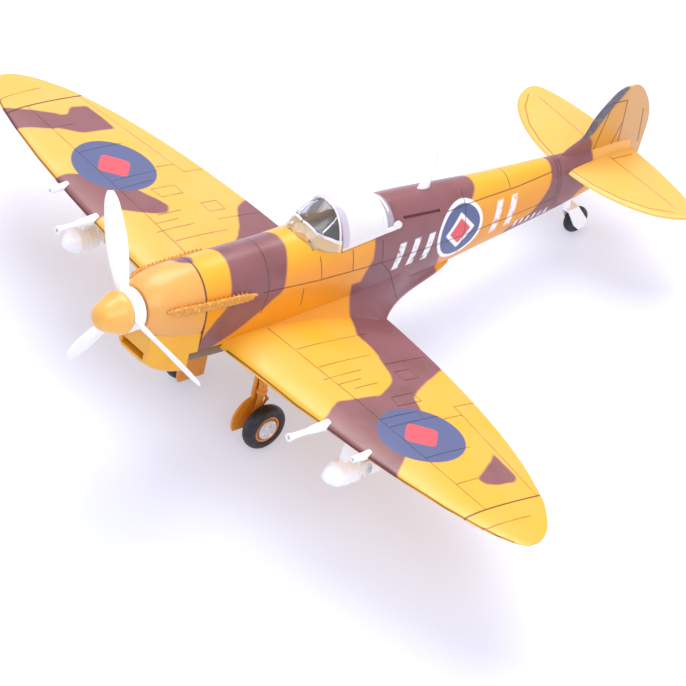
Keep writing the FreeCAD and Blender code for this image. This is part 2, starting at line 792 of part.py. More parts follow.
def gear_door(leg):
    """Leg fairing on the inboard side, spread into a cover beside the wheel."""
    x0, x1 = DOOR_X, DOOR_X + DOOR_T
    y, z = WHEEL_Y, WHEEL_Z
    strip = extruded([(y - 1.9, -18.2), (y + 3.0, -18.2), (y + 2.6, -34.0), (y - 1.9, -34.0)], x0, x1)
    disc = rod((x0, y, z), (x1, y, z), TYRE_R + 0.3).common(box(0, 30, 0, y + 2.6, z - 3.0, z + 10))
    ribs = [box(x1 - 0.1, x1 + 0.3, y + dy - 0.3, y + dy + 0.3, -33.0, -19.0) for dy in (-1.5, 2.1)]
    clips = [box(x1 - 0.1, LEG_X - 0.6, y + 0.3, y + 1.2, zc - 0.6, zc + 0.6) for zc in (-21.0, -27.0)]
    return largest(fuse([strip, disc] + ribs + clips).cut(leg))


def tyre(x, y, z, radius, inner, half):
    """Tyre with rounded shoulders, turned about X."""
    bulge = min(half * 0.9, (radius - inner) * 0.62)
    profile = [
        (-half * 0.80, inner), (-half, inner + 0.4), (-half, radius - bulge),
        (-half * 0.84, radius - bulge * 0.42), (-half * 0.50, radius - bulge * 0.10),
        (0.0, radius),
        (half * 0.50, radius - bulge * 0.10), (half * 0.84, radius - bulge * 0.42),
        (half, radius - bulge), (half, inner + 0.4), (half * 0.80, inner),
    ]
    return turned(profile, (x, y, z), OUTBOARD)


def wheel_rim():
    """Dished rim with a bored boss."""
    profile = [
        (-1.6, AXLE_R + SLIP), (-1.6, RIM_R), (1.6, RIM_R), (1.6, RIM_R - 0.5), (1.0, RIM_R - 0.9),
        (1.0, CAP_R - 0.6), (1.45, CAP_R - 0.6), (1.45, AXLE_R + SLIP),
    ]
    return turned(profile, (WHEEL_X, WHEEL_Y, WHEEL_Z), OUTBOARD)


def hub_cap():
    """Domed cap that hides the end of the axle."""
    profile = [
        (1.45, 1.2), (1.45, CAP_R), (1.9, CAP_R), (2.3, CAP_R - 0.5), (2.55, CAP_R - 1.3),
        (2.6, 0.0), (2.0, 0.0), (2.0, 1.2),
    ]
    return turned(profile, (WHEEL_X, WHEEL_Y, WHEEL_Z), OUTBOARD)


def tail_fork(body):
    """Tail wheel strut with two broad cheeks and the axle pin."""
    y, z = TAIL_WHEEL_Y, TAIL_WHEEL_Z
    inner = TAIL_TYRE_HALF + GAP
    outer = inner + 0.7
    shapes = [rod((0, y - 6.6, z + 11.0), (0, y - 5.0, z + 5.4), 1.3)]
    shapes.append(extruded([(y - 6.2, z + 6.0), (y - 2.6, z + 6.6), (y - 1.2, z + 4.9), (y - 5.2, z + 4.4)],
                           -outer, outer))
    for x0, x1 in ((inner, outer), (-outer, -inner)):
        shapes.append(extruded([(y - 6.2, z + 6.0), (y - 2.6, z + 6.6), (y + 2.3, z + 0.6),
                                (y + 2.0, z - 1.6), (y - 0.2, z - 2.2), (y - 2.2, z - 0.6)], x0, x1))
    shapes.append(rod((-outer, y, z), (outer, y, z), TAIL_AXLE_R))
    return largest(fuse(shapes).cut(body))


def tail_hub():
    """Hub of the tail wheel."""
    profile = [(-0.95, TAIL_AXLE_R + SLIP), (-0.95, TAIL_HUB_R), (0.95, TAIL_HUB_R),
               (0.95, TAIL_AXLE_R + SLIP)]
    return turned(profile, (0, TAIL_WHEEL_Y, TAIL_WHEEL_Z), OUTBOARD)


def cannon(wing, x, reach, root, barrel=0.0, muzzle=0.0):
    """Gun barrel: a tapered root sleeve and, if it is long, a thin tube with a flared muzzle."""
    lead = LINE_Y - LEAD * plan(x)
    mouth = muzzle or root * 0.72
    sleeve = min(4.6, reach)
    profile = [(1.6, 0.0), (1.6, mouth * 0.5), (0.0, mouth * 0.5), (0.0, mouth)]
    if barrel:
        profile += [(2.2, barrel), (reach - sleeve, barrel), (reach - sleeve, root * 0.72)]
    profile += [(reach + 1.8, root), (reach + 1.8, 0.0)]
    centre = (x, lead - reach, wing_height(x, lead) + 0.2)
    return largest(turned(profile, centre, AFT).cut(wing))


def bomb():
    """Small finned bomb, nose forward."""
    x, y, z = BOMB
    half = BOMB_LENGTH / 2
    profile = [(-half, 0.0), (-half + 0.3, 1.2), (-half + 1.6, 2.4), (-half + 3.6, BOMB_R - 0.15),
               (-half + 5.6, BOMB_R), (half - 9.0, BOMB_R), (half - 6.0, 2.4), (half - 1.0, 1.1),
               (half - 1.0, 0.0)]
    shapes = [turned(profile, (x, y, z), AFT)]
    for turn in (45, 135):
        fin = box(-3.2, 3.2, half - 5.0, half, -0.3, 0.3)
        fin.rotate(V(0, 0, 0), AFT, turn)
        fin.translate(V(x, y, z))
        shapes.append(fin)
    return fuse(shapes)


def bomb_rack(wing, load):
    """Pylon between the wing and the bomb."""
    x, y, z = BOMB
    pylon = extruded([(y - 4.0, z + 2), (y + 4.5, z + 2), (y + 6.0, -12.4), (y - 2.4, -12.4)],
                     x - 1.1, x + 1.1)
    return largest(pylon.cut(wing).cut(load))


# --- assembly -------------------------------------------------------------------------

def stand(shape):
    """Tip a piece from airframe axes into the standing model's frame."""
    placed = shape.copy()
    placed.rotate(V(0, 0, 0), V(1, 0, 0), -math.degrees(PITCH))
    placed.translate(V(0, SHIFT_Y, LIFT))
    return placed


def fuselage_nodes(nodes):
    """Cowling, fuselage halves, belly and the shapes that other pieces are fitted to."""
    cowl_half = half_body(cowl_stations(), 0.0)
    cowl_inner = half_body([(9.8, 8.6, -5.9, 7.2, 1.2, 2.0)] + cowl_stations()[1:], WALL)
    cowl = both_sides(cowl_half)
    rear = [s for s in STATIONS if s[0] >= COWL_END]
    outer = half_body(rear, 0.0)
    inner = half_body(rear[:-1], WALL)
    bore = rod((0, 7, PROP_Z), (0, 10, PROP_Z), 2.4)
    wing = wing_whole()
    body = both_sides(outer)

    nodes["nose_cowling"] = largest(cowl.cut(both_sides(cowl_inner)).cut(bore))
    nodes["chin_intake"] = chin_intake(cowl)
    nodes["intake_mesh"] = intake_mesh()
    nodes["fuselage_left"] = fuselage_half(outer, inner, wing, 1)
    nodes["fuselage_right"] = fuselage_half(mirrored(outer), mirrored(inner), mirrored(wing), -1)
    nodes["belly_panel"] = belly_panel(cowl)
    bulkhead = both_sides(inner).common(box(-12, 12, FIREWALL[0], FIREWALL[1], BELLY_TOP, 12))
    nodes["firewall"] = largest(bulkhead.cut(rod((0, 20, PROP_Z), (0, 35, PROP_Z), SHAFT_R + SLIP)))
    return cowl, body, outer, inner, wing


def belly_panel(cowl):
    """Trough under the fuselage, from the chin to the wing's trailing edge."""
    front = (5.0, -19.6, 9.4, -1.8, 2.6)
    rear = [s for s in STATIONS if COWL_END <= s[0] < 100]
    outer = both_sides(half_body([(BELLY_START,) + front] + rear, BELLY_STEP))
    inner = both_sides(half_body([(BELLY_START + WALL,) + front] + rear, BELLY_STEP + WALL))
    trough = outer.common(box(-12, 12, BELLY_START, BELLY_END, -30, BELLY_TOP))
    return largest(trough.cut(inner).cut(cowl).cut(spar_slot()))


def paired(nodes, name, shape):
    """Store a port piece and its starboard copy."""
    nodes[name + "_left"] = shape
    nodes[name + "_right"] = mirrored(shape)


def wing_nodes(nodes, body, wing):
    """Wing skins, tips, spar, guns and bombs."""
    socket = rod((LEG_X, WHEEL_Y, -30), (LEG_X, WHEEL_Y, LEG_TOP + 1), LEG_R + 0.01)
    paired(nodes, "wing_upper", wing_skin(UPPER_SHARE, body))
    paired(nodes, "wing_lower", largest(wing_skin(UPPER_SHARE - 1, body).cut(socket)))
    paired(nodes, "wing_tip", wing_tip())
    arm = spar_arm()
    nodes["wing_spar"] = arm.fuse(mirrored(arm)).removeSplitter()
    paired(nodes, "cannon_barrel", cannon(wing, CANNON_X, CANNON_REACH, 1.5, 0.85, 1.2))
    paired(nodes, "cannon_stub", cannon(wing, STUB_X, STUB_REACH, 1.25))
    load = bomb()
    paired(nodes, "bomb", load)
    paired(nodes, "bomb_rack", bomb_rack(wing, load))


def cockpit_nodes(nodes, body, outer, inner):
    """Clear parts and cockpit fittings."""
    nodes["windscreen"] = windscreen(body)
    nodes["canopy_hood"] = hood()
    nodes["rear_window"] = rear_window(outer, inner)
    nodes["cockpit_tub"] = cockpit_tub(inner)
    nodes["pilot_seat"] = seat()
    nodes["instrument_panel"] = instrument_panel()
    nodes["control_stick"] = control_stick()
    nodes["head_armour"] = head_armour()


def gear_nodes(nodes, body, wing):
    """Main legs, doors, wheels and the tail wheel."""
    centre = (WHEEL_X, WHEEL_Y, WHEEL_Z)
    leg = gear_leg(wing)
    paired(nodes, "gear_leg", leg)
    paired(nodes, "gear_door", gear_door(leg))
    paired(nodes, "tyre", tyre(*centre, TYRE_R, RIM_R, TYRE_HALF))
    paired(nodes, "wheel_rim", wheel_rim())
    paired(nodes, "hub_cap", hub_cap())
    nodes["tail_fork"] = tail_fork(body)
    nodes["tail_tyre"] = tyre(0, TAIL_WHEEL_Y, TAIL_WHEEL_Z, TAIL_TYRE_R, TAIL_HUB_R, TAIL_TYRE_HALF)
    nodes["tail_hub"] = tail_hub()


def propeller_nodes(nodes):
    """Spinner, propeller, shaft, bearing and the collar that keeps the shaft in."""
    nodes["spinner"] = spinner()
    nodes["propeller"] = propeller()
    nodes["prop_shaft"] = rod((0, SHAFT[0], PROP_Z), (0, SHAFT[1], PROP_Z), SHAFT_R)
    nodes["nose_bush"] = bush()
    nodes["shaft_collar"] = rod((0, FIREWALL[1] + GAP, PROP_Z), (0, SHAFT[1], PROP_Z), 2.4).cut(
        rod((0, 20, PROP_Z), (0, 40, PROP_Z), SHAFT_R))


def model():
    """Every piece of the model by name, in airframe axes."""
    nodes = {}
    cowl, body, outer, inner, wing = fuselage_nodes(nodes)
    wing_nodes(nodes, body, wing)
    paired(nodes, "exhaust", largest(exhaust().cut(cowl).cut(body)))
    cockpit_nodes(nodes, body, outer, inner)
    fin = tail_fin(body)
    nodes["tail_fin"] = fin
    paired(nodes, "tailplane", tailplane(body, fin))
    nodes["aerial_mast"] = largest(aerial_mast().cut(body))
    gear_nodes(nodes, body, wing)
    propeller_nodes(nodes)
    return nodes


def main():
    """Write one STEP file per piece."""
    os.makedirs("parts", exist_ok=True)
    for name, shape in model().items():
        solid = shape if shape.ShapeType == "Solid" else largest(shape)
        if not solid.isValid():
            print("not valid:", name)
        print(f"{name:20s} {solid.Volume:10.1f} mm3")
        stand(solid).exportStep(f"parts/{name}.step")


main()
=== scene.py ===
"""Looks of a snap-together display model of a single-seat fighter plane.

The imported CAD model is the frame. Sizes here are airframe millimetres: x to port, y aft from
the nose, z up. The frame's propeller joint says how the airframe stands on its wheels.
"""
import json
import math

import bpy
from mathutils import Matrix, Vector


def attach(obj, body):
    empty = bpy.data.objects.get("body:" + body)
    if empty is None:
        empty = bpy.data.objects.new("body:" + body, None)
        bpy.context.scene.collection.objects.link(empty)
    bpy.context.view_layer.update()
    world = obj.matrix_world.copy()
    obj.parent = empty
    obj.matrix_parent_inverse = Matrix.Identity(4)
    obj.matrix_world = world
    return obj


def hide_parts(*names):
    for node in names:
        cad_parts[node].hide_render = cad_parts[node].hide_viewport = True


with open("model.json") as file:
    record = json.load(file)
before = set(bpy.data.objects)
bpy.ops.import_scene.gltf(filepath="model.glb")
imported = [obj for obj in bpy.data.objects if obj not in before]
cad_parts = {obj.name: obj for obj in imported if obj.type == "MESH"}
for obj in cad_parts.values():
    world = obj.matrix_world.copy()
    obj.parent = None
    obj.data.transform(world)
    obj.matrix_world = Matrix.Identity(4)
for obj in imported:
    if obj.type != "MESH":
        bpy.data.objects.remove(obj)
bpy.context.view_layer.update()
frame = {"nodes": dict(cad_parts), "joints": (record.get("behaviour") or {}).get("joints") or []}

# --- airframe axes in the standing frame ------------------------------------------------

MM = 0.001
PROP_AT = Vector((0.0, 4.9, 1.4))       # the propeller's pivot on the airframe
PROP_JOINT = next(j for j in frame["joints"] if j["name"] == "prop_spin")
PITCH = math.atan2(-PROP_JOINT["axis"][2], PROP_JOINT["axis"][1])
STAND = (Matrix.Translation(PROP_JOINT["pos_m"]) @ Matrix.Rotation(-PITCH, 4, "X")
         @ Matrix.Scale(MM, 4) @ Matrix.Translation(-PROP_AT))
TO_AIRFRAME = STAND.inverted()

# --- sizes shared by several pieces -------------------------------------------------------

RAIL_TILT = math.radians(5.0)
RAIL_AT = (72.8, 5.9)                   # y, z of the hood's front lower corner
# hood stations: distance along the rail, half width, height
HOOD = ((0.0, 8.3, 12.0), (5.0, 8.3, 12.0), (11.0, 8.2, 10.6), (15.8, 8.1, 8.6))
# windscreen stations: y, half width, top, bottom
WINDSCREEN = ((60.6, 4.2, 11.3, 5.0), (63.5, 6.4, 13.6, 4.6), (67.5, 7.7, 16.2, 4.4),
              (72.3, 8.25, 18.0, 4.2))
ARCH_POWER = 2.2                        # roundness of the canopy's section
WHEEL_AT = (17.3, 48.5, -39.4)
TAIL_WHEEL_AT = (0.0, 172.3, -17.6)
TYRE = (6.8, 4.0, 2.0)                  # outer radius, inner radius, half width
TAIL_TYRE = (4.1, 1.9, 1.3)
LEG_X = 13.7
BOMB_AT = (57.4, 42.0, -23.4)
SIDES = ((1, "left"), (-1, "right"))    # sign of x, and the word in names
ROUNDEL_AT = (67.3, 55.6)               # wing disc: distance from the centre line, y
ROUNDEL_R = 12.2
BADGE_AT = (117.3, -0.5)                # fuselage disc: y, z
BADGE_R = 8.8
TIP_SEAM = 100.4                        # x of the joint between wing and tip
COWL_SEAM = 25.2                        # y of the joint behind the nose cowling
WING_SPAN = 117.0                       # half span of the elliptical plan
WING_PLAN = 1.966                       # its exponent
WING_FRONT = (52.3, 19.0)               # y of the widest line, leading edge ahead of it
REAR_DECK = (9.9, 13.15, -2.6)          # body at the rear window: half width, top, widest height


def srgb(red, green, blue):
    """Linear colour from 0-255 display values."""
    def linear(value):
        value /= 255
        return value / 12.92 if value <= 0.04045 else ((value + 0.055) / 1.055) ** 2.4
    return (linear(red), linear(green), linear(blue), 1.0)


YELLOW = srgb(238, 175, 40)
YELLOW_PALE = srgb(240, 183, 92)
ORANGE = srgb(232, 151, 28)
BROWN = srgb(136, 86, 90)
BROWN_DARK = srgb(122, 74, 76)
WASH = srgb(62, 34, 20)
BLUE = srgb(84, 94, 138)
RED = srgb(224, 82, 94)
WHITE = srgb(248, 251, 255)
OLIVE = srgb(124, 94, 62)
BRONZE = srgb(240, 186, 84)
GREY = srgb(214, 216, 214)
DARK = srgb(52, 50, 56)
MAUVE = srgb(160, 140, 158)
BLACK = srgb(26, 25, 32)
SILVER = srgb(252, 252, 255)
FADED_BLUE = srgb(92, 94, 110)
COWL_TAN = srgb(226, 166, 92)
FIN_YELLOW = srgb(216, 158, 66)
RUDDER_TAN = srgb(212, 164, 98)

SPRAY_EDGE = 0.5                        # soft edge of the camouflage
DISC_EDGE = 0.25                        # soft edge of the wing discs
DECAL_EDGE = 0.2                        # soft edge of the fuselage markings
STROKE_EDGE = 0.13                      # soft edge of engraved lines
LINE_WASH = 0.66                        # strength of the dark wash in engraved lines
SEAM_WASH = 0.85                        # and in the joints between parts


# --- fields: arithmetic on shader sockets -------------------------------------------------

class Field:
    """A number that varies over a surface. Arithmetic on it adds math nodes."""

    def __init__(self, tree, socket):
        self.tree = tree
        self.socket = socket

    def math(self, operation, *values):
        node = self.tree.nodes.new("ShaderNodeMath")
        node.operation = operation
        for slot, value in zip(node.inputs, (self,) + values):
            if isinstance(value, Field):
                self.tree.links.new(value.socket, slot)
            else:
                slot.default_value = value
        return Field(self.tree, node.outputs[0])

    def __add__(self, other):
        return self.math("ADD", other)

    def __sub__(self, other):
        return self.math("SUBTRACT", other)

    def __mul__(self, other):
        return self.math("MULTIPLY", other)

    def abs(self):
        return self.math("ABSOLUTE")

    def max(self, other):
        return self.math("MAXIMUM", other)

    def min(self, other):
        return self.math("MINIMUM", other)

    def inside(self, soft):
        """1 where the distance is below zero, 0 where it is above, with a soft edge."""
        return self.ramp(soft, -soft)

    def stroke(self, width):
        """1 along a line whose distance field this is."""
        return (self - width).inside(STROKE_EDGE)

    def ramp(self, low, high):
        """Smooth step from 0 at low to 1 at high."""
        node = self.tree.nodes.new("ShaderNodeMapRange")
        node.interpolation_type = "SMOOTHSTEP"
        self.tree.links.new(self.socket, node.inputs["Value"])
        node.inputs["From Min"].default_value = low
        node.inputs["From Max"].default_value = high
        return Field(self.tree, node.outputs["Result"])


def outermost(points, side):
    """Indices of the points on the hull of a run of points, on one side of it."""
    (u0, v0), (u1, v1) = points[0], points[-1]
    reach = [side * ((v1 - v0) * (u - u0) - (u1 - u0) * (v - v0)) for u, v in points]
    best = reach.index(max(reach))
    if reach[best] < 1e-6:
        return [0, len(points) - 1]
    rest = outermost(points[best:], side)
    return outermost(points[:best + 1], side) + [i + best for i in rest[1:]]


class Sheet:
    """Flat coordinates (u, v) laid over a surface, for outlines given as points."""

    def __init__(self, u, v):
        self.tree = u.tree
        node = self.tree.nodes.new("ShaderNodeCombineXYZ")
        self.tree.links.new(u.socket, node.inputs[0])
        self.tree.links.new(v.socket, node.inputs[1])
        node.inputs[2].default_value = 1.0
        self.point = node.outputs[0]

    def plane(self, nu, nv, offset):
        """nu * u + nv * v + offset."""
        node = self.tree.nodes.new("ShaderNodeVectorMath")
        node.operation = "DOT_PRODUCT"
        self.tree.links.new(self.point, node.inputs[0])
        node.inputs[1].default_value = (nu, nv, offset)
        return Field(self.tree, node.outputs["Value"])

    def disc(self, centre, radius):
        """Distance outside a circle."""
        node = self.tree.nodes.new("ShaderNodeVectorMath")
        node.operation = "DISTANCE"
        self.tree.links.new(self.point, node.inputs[0])
        node.inputs[1].default_value = (centre[0], centre[1], 1.0)
        return Field(self.tree, node.outputs["Value"]) - radius

    def edge(self, start, end):
        """Distance to the right of the line from start to end."""
        (u0, v0), (u1, v1) = start, end
        length = math.hypot(u1 - u0, v1 - v0)
        nu, nv = (v1 - v0) / length, (u0 - u1) / length
        return self.plane(nu, nv, -nu * u0 - nv * v0)

    def chain(self, points, side, corner):
        """Distance from a run of edges that bulges to the right (side 1) or left (side -1)."""
        if len(points) == 2:
            return self.edge(*points)
        ends = outermost(points, side)
        meet = "SMOOTH_MAX" if side > 0 else "SMOOTH_MIN"
        field = None
        for i, j in zip(ends, ends[1:]):
            part = self.chain(points[i:j + 1], -side, corner)
            field = field.math(meet, part, corner) if field else part
        return field

    def outline(self, points, corner=1.5):
        """Distance outside a closed outline with rounded corners, whichever way round it runs."""
        area = sum(a[0] * b[1] - b[0] * a[1] for a, b in zip(points, points[1:] + points[:1]))
        points = points if area > 0 else points[::-1]
        first = points.index(min(points))
        points = points[first:] + points[:first]
        last = points.index(max(points))
        lower = self.chain(points[:last + 1], 1, corner)
        upper = self.chain(points[last:] + points[:1], 1, corner)
        return lower.math("SMOOTH_MAX", upper, corner)

    def union(self, outlines, blend=1.0):
        """Distance outside several outlines that run into each other."""
        field = None
        for points in outlines:
            shape = self.outline(points)
            field = field.math("SMOOTH_MIN", shape, blend) if field else shape
        return field

    def line(self, start, end):
        """Distance from a straight line between two points."""
        (u0, v0), (u1, v1) = start, end
        length = math.hypot(u1 - u0, v1 - v0)
        du, dv = (u1 - u0) / length, (v1 - v0) / length
        across = self.plane(-dv, du, dv * u0 - du * v0).abs()
        middle = du * (u0 + u1) / 2 + dv * (v0 + v1) / 2
        along = self.plane(du, dv, -middle).abs() - length / 2
        return across.max(along)

    def lines(self, *ends):
        """Distance from the nearest of several lines."""
        field = None
        for start, end in ends:
            one = self.line(start, end)
            field = field.min(one) if field else one
        return field

    def path(self, *points):
        """Distance from a line through several points."""
        return self.lines(*zip(points, points[1:]))


class Surface:
    """A material whose colour, gloss and relief are drawn in airframe millimetres."""

    def __init__(self, name):
        self.material = bpy.data.materials.new(name)
        self.material.use_nodes = True
        self.tree = self.material.node_tree
        self.shader = self.tree.nodes["Principled BSDF"]
        coordinates = self.tree.nodes.new("ShaderNodeTexCoord")
        mapping = self.tree.nodes.new("ShaderNodeMapping")
        mapping.inputs["Location"].default_value = TO_AIRFRAME.to_translation()
        mapping.inputs["Rotation"].default_value = (PITCH, 0, 0)
        mapping.inputs["Scale"].default_value = (1 / MM,) * 3
        self.tree.links.new(coordinates.outputs["Object"], mapping.inputs["Vector"])
        self.point = mapping.outputs["Vector"]
        split = self.tree.nodes.new("ShaderNodeSeparateXYZ")
        self.tree.links.new(self.point, split.inputs[0])
        self.x, self.y, self.z = (Field(self.tree, out) for out in split.outputs)

    def noise(self, size, detail=2.0, rough=0.5):
        """Noise from 0 to 1 with features of about size millimetres."""
        node = self.tree.nodes.new("ShaderNodeTexNoise")
        self.tree.links.new(self.point, node.inputs["Vector"])
        node.inputs["Scale"].default_value = 1 / size
        node.inputs["Detail"].default_value = detail
        node.inputs["Roughness"].default_value = rough
        return Field(self.tree, node.outputs["Fac"])

    def wobble(self, size, amount):
        """Noise centred on zero."""
        return (self.noise(size, 1.0) - 0.5) * (2 * amount)

    def paint(self, under, over, mask):
        """One colour over another where the mask is 1."""
        node = self.tree.nodes.new("ShaderNodeMix")
        node.data_type = "RGBA"
        self.tree.links.new(mask.socket, node.inputs["Factor"])
        for slot, colour in ((node.inputs[6], under), (node.inputs[7], over)):
            if isinstance(colour, tuple):
                slot.default_value = colour
            else:
                self.tree.links.new(colour, slot)
        return node.outputs[2]

    def colour(self, socket):
        """Base colour from a paint socket."""
        self.tree.links.new(socket, self.shader.inputs["Base Color"])

    def roughness(self, field):
        """Uneven roughness."""
        self.tree.links.new(field.socket, self.shader.inputs["Roughness"])

    def relief(self, height):
        """Bump from a height field in millimetres."""
        bump = self.tree.nodes.new("ShaderNodeBump")
        bump.inputs["Strength"].default_value = 1.0
        bump.inputs["Distance"].default_value = MM
        self.tree.links.new(height.socket, bump.inputs["Height"])
        self.tree.links.new(bump.outputs[0], self.shader.inputs["Normal"])

    def set(self, **values):
        """Plain shader values, such as coat_weight."""
        for key, value in values.items():
            label = key.replace("_", " ").title().replace("Ior", "IOR")
            self.shader.inputs[label].default_value = value

    def moulded(self, lines=None, depth=0.12, grain=0.010, gloss=0.34):
        """Moulded plastic finish: fine orange peel, uneven gloss and engraved lines."""
        peel = self.noise(0.9, 3.0) * grain + self.noise(7.0) * (grain * 2.5)
        if lines:
            peel = peel - lines * depth
        self.relief(peel)
        patches = self.noise(9.0, 3.0)
        self.roughness((patches - 0.5) * 0.22 + gloss)
        self.set(coat_weight=0.12, coat_roughness=0.18)


# --- paint schemes ------------------------------------------------------------------------

# brown patches on the wings, as overlapping outlines of (x, y)
WING_BROWN = (
    [(51, 33), (79.5, 36), (73, 45), (66, 56), (48, 56), (47.3, 50), (45.8, 44)],
    [(47.5, 48), (62, 50), (58.5, 63.5), (47, 67.5), (44.3, 65), (48.5, 57)],
    [(48.5, 58), (57, 60), (52.5, 66.3), (49.5, 70), (46.8, 75), (36, 73.5), (33.5, 69.5),
     (39, 68.2), (44, 65)],
    [(40, 67.2), (49.5, 69), (46.8, 75), (42, 87), (18, 89), (16.5, 74.5), (22, 71.2), (29, 71)],
    [(17.5, 73.5), (25, 71), (22, 90), (0, 92), (3, 84), (9, 78)],
    [(80.6, 69.8), (84.2, 66), (86.8, 60), (89, 57.2), (91.5, 57.6), (93, 60.5), (93.4, 67),
     (91.5, 69), (86, 69.8)],
    [(-70, 32), (-49, 32), (-49.8, 43), (-44, 52), (-43.3, 56), (-46, 58.5), (-52, 56.5),
     (-57, 54), (-66, 46), (-70, 40)],
    [(-104, 42), (-94.5, 39), (-88.5, 49.5), (-87.6, 55), (-94.4, 56.5), (-98.5, 49.5)],
    [(-94.6, 52), (-88, 51.5), (-83.4, 58), (-83.2, 68.3), (-95.3, 68), (-96, 62), (-93.2, 59)],
    [(-45, 88), (-40.5, 79), (-32, 73), (-26, 67), (-22, 60), (-10, 57), (0, 60), (0, 90)],
)
# the two of them that reach across the wing roots onto the fuselage
ROOT_BROWN = (WING_BROWN[4], WING_BROWN[9])
# brown patch on top of the nose, as an outline of (x, y)
NOSE_BROWN = [(-7.5, 22.2), (-1.5, 22.0), (0.8, 25.6), (-2.5, 27.4), (-7.5, 26.6)]
# brown bands on the fuselage and fin, as outlines of (y, z)
BODY_BROWN = (
    [(37.2, 18), (59, 18), (53.2, 5.5), (51.6, 0.5), (44, -3), (33, 1), (34.5, 6.5)],
    [(36, 4), (51.6, 2), (45.4, -3.2), (34, -9.8), (27, -14), (22, -14), (25.6, -7), (29.0, -2)],
    [(84.8, 20), (127, 20), (124.5, 9.5), (118, 4), (112, -4), (111, -8), (83.4, -1), (84.6, 6)],
    [(83.6, 1), (113, 2), (110.8, -7.5), (113.5, -14), (114, -24), (79, -24), (79.2, -10), (80.5, -4)],
    [(154.5, 18), (164.3, 16), (170, 10.7), (170.4, 4), (172, 0), (168, -4), (152.2, 0), (153.8, 6)],
    [(152.6, 2), (170, 2), (166, -6), (160, -13), (138, -13), (138.5, -7.5), (147.6, -4.6), (149.6, -1.8)],
)
FIN_BROWN = BODY_BROWN[4:]
# worn leading edge of the fin, as an outline of (y, z)
FIN_EDGE = [(162, 14), (165.5, 11), (169.6, 12.6), (173.4, 18.4), (177.4, 22.6), (181, 26), (170, 28)]


def scheme(surface, sheet, patches):
    """Yellow ground, paler to starboard, with brown patches, both slightly uneven."""
    mask = sheet.union(patches).inside(SPRAY_EDGE)
    # share of the paler yellow: random patches, and more of it towards starboard
    paler_share = surface.noise(16.0, 3.0).ramp(0.35, 0.75) * 0.5 + surface.x.ramp(30.0, -40.0) * 0.5
    ground = surface.paint(YELLOW, YELLOW_PALE, paler_share)
    brown = surface.paint(BROWN, BROWN_DARK, surface.noise(11.0, 3.0).ramp(0.4, 0.8))
    return surface.paint(ground, brown, mask)


def wing_lines(sheet):
    """Engraved lines of one wing, with u measured outboard on both sides."""
    spar = sheet.path((11, 48.0), (46, 49.3), (TIP_SEAM, 50.0))
    aileron = sheet.path((59.2, 84), (59.2, 74.6), (TIP_SEAM, 68.6))
    bays = sheet.lines(
        ((22.3, 49), (22.3, 74)), ((31.4, 49.5), (31.4, 68)), ((36.6, 47), (36.6, 60)),
        ((40.0, 49.5), (40.0, 57)), ((43.2, 52.5), (43.2, 60.5)), ((36.5, 69), (36.5, 84)),
        ((57.3, 49.6), (57.9, 62.4)), ((57.9, 62.4), (61.2, 61.9)), ((61.1, 49.6), (61.6, 66.5)),
        ((76.0, 49.8), (76.2, 65.4)), ((88.5, 49.8), (88.5, 57.5)), ((63.2, 67.5), (63.2, 74)))
    boxes = sheet.path((50.2, 67), (50.2, 59.4), (54.2, 58.6), (54.2, 67), (50.2, 67))
    hatch = sheet.path((40.4, 69), (44.6, 69), (44.6, 74.6), (40.4, 74.6), (40.4, 69))
    tip = sheet.path((104.5, 42.5), (106.6, 45.5), (107, 60))
    return spar.min(aileron).min(bays).min(boxes).min(hatch).min(tip)


def wing_front(x):
    """Leading edge of the elliptical wing."""
    middle, ahead = WING_FRONT
    return middle - ahead * (1 - (x / WING_SPAN) ** WING_PLAN) ** (1 / WING_PLAN)


def wing_edge(sheet):
    """Dark line just behind the leading edge: partly the joint where the halves meet, partly painted shade
    along the edge.
    """
    stations = (12, 40, 62, 80, 94, 104, 110, 114)
    return sheet.path(*((x, wing_front(x) + 0.15) for x in stations))


def wing_skin():
    """Camouflage, discs and engraved lines of the wings' upper side."""
    surface = Surface("wing_paint")
    x = surface.x + surface.wobble(6.0, 0.5)
    y = surface.y + surface.wobble(8.0, 0.5)
    outboard = Sheet(surface.x.abs(), surface.y)
    colour = scheme(surface, Sheet(x, y), WING_BROWN)
    colour = disc_marking(surface, outboard, colour)
    groove = wing_lines(outboard).stroke(0.15)
    tip_seam = outboard.line((TIP_SEAM, 40), (TIP_SEAM, 75)).stroke(0.26)
    seam = tip_seam.max(wing_edge(outboard).stroke(0.12))
    colour = surface.paint(colour, WASH, groove * (surface.noise(5.0).ramp(0.3, 0.6) * 0.3 + 0.4))
    colour = surface.paint(colour, WASH, seam * SEAM_WASH)
    surface.colour(colour)
    surface.moulded(groove.max(seam))
    return surface.material


def diamond(centre, size):
    """Outline of a square standing on its corner."""
    u, v = centre
    return [(u - size, v), (u, v - size), (u + size, v), (u, v + size)]


def disc_marking(surface, sheet, colour):
    """A plain blue disc with a rounded red diamond."""
    middle = sheet.outline(diamond(ROUNDEL_AT, ROUNDEL_R * 0.5), 3.0)
    blue = surface.paint(BLUE, FADED_BLUE, surface.noise(4.0, 3.0).ramp(0.55, 0.95) * 0.5)
    colour = surface.paint(colour, blue, sheet.disc(ROUNDEL_AT, ROUNDEL_R).inside(DISC_EDGE))
    return surface.paint(colour, RED, middle.inside(DISC_EDGE))


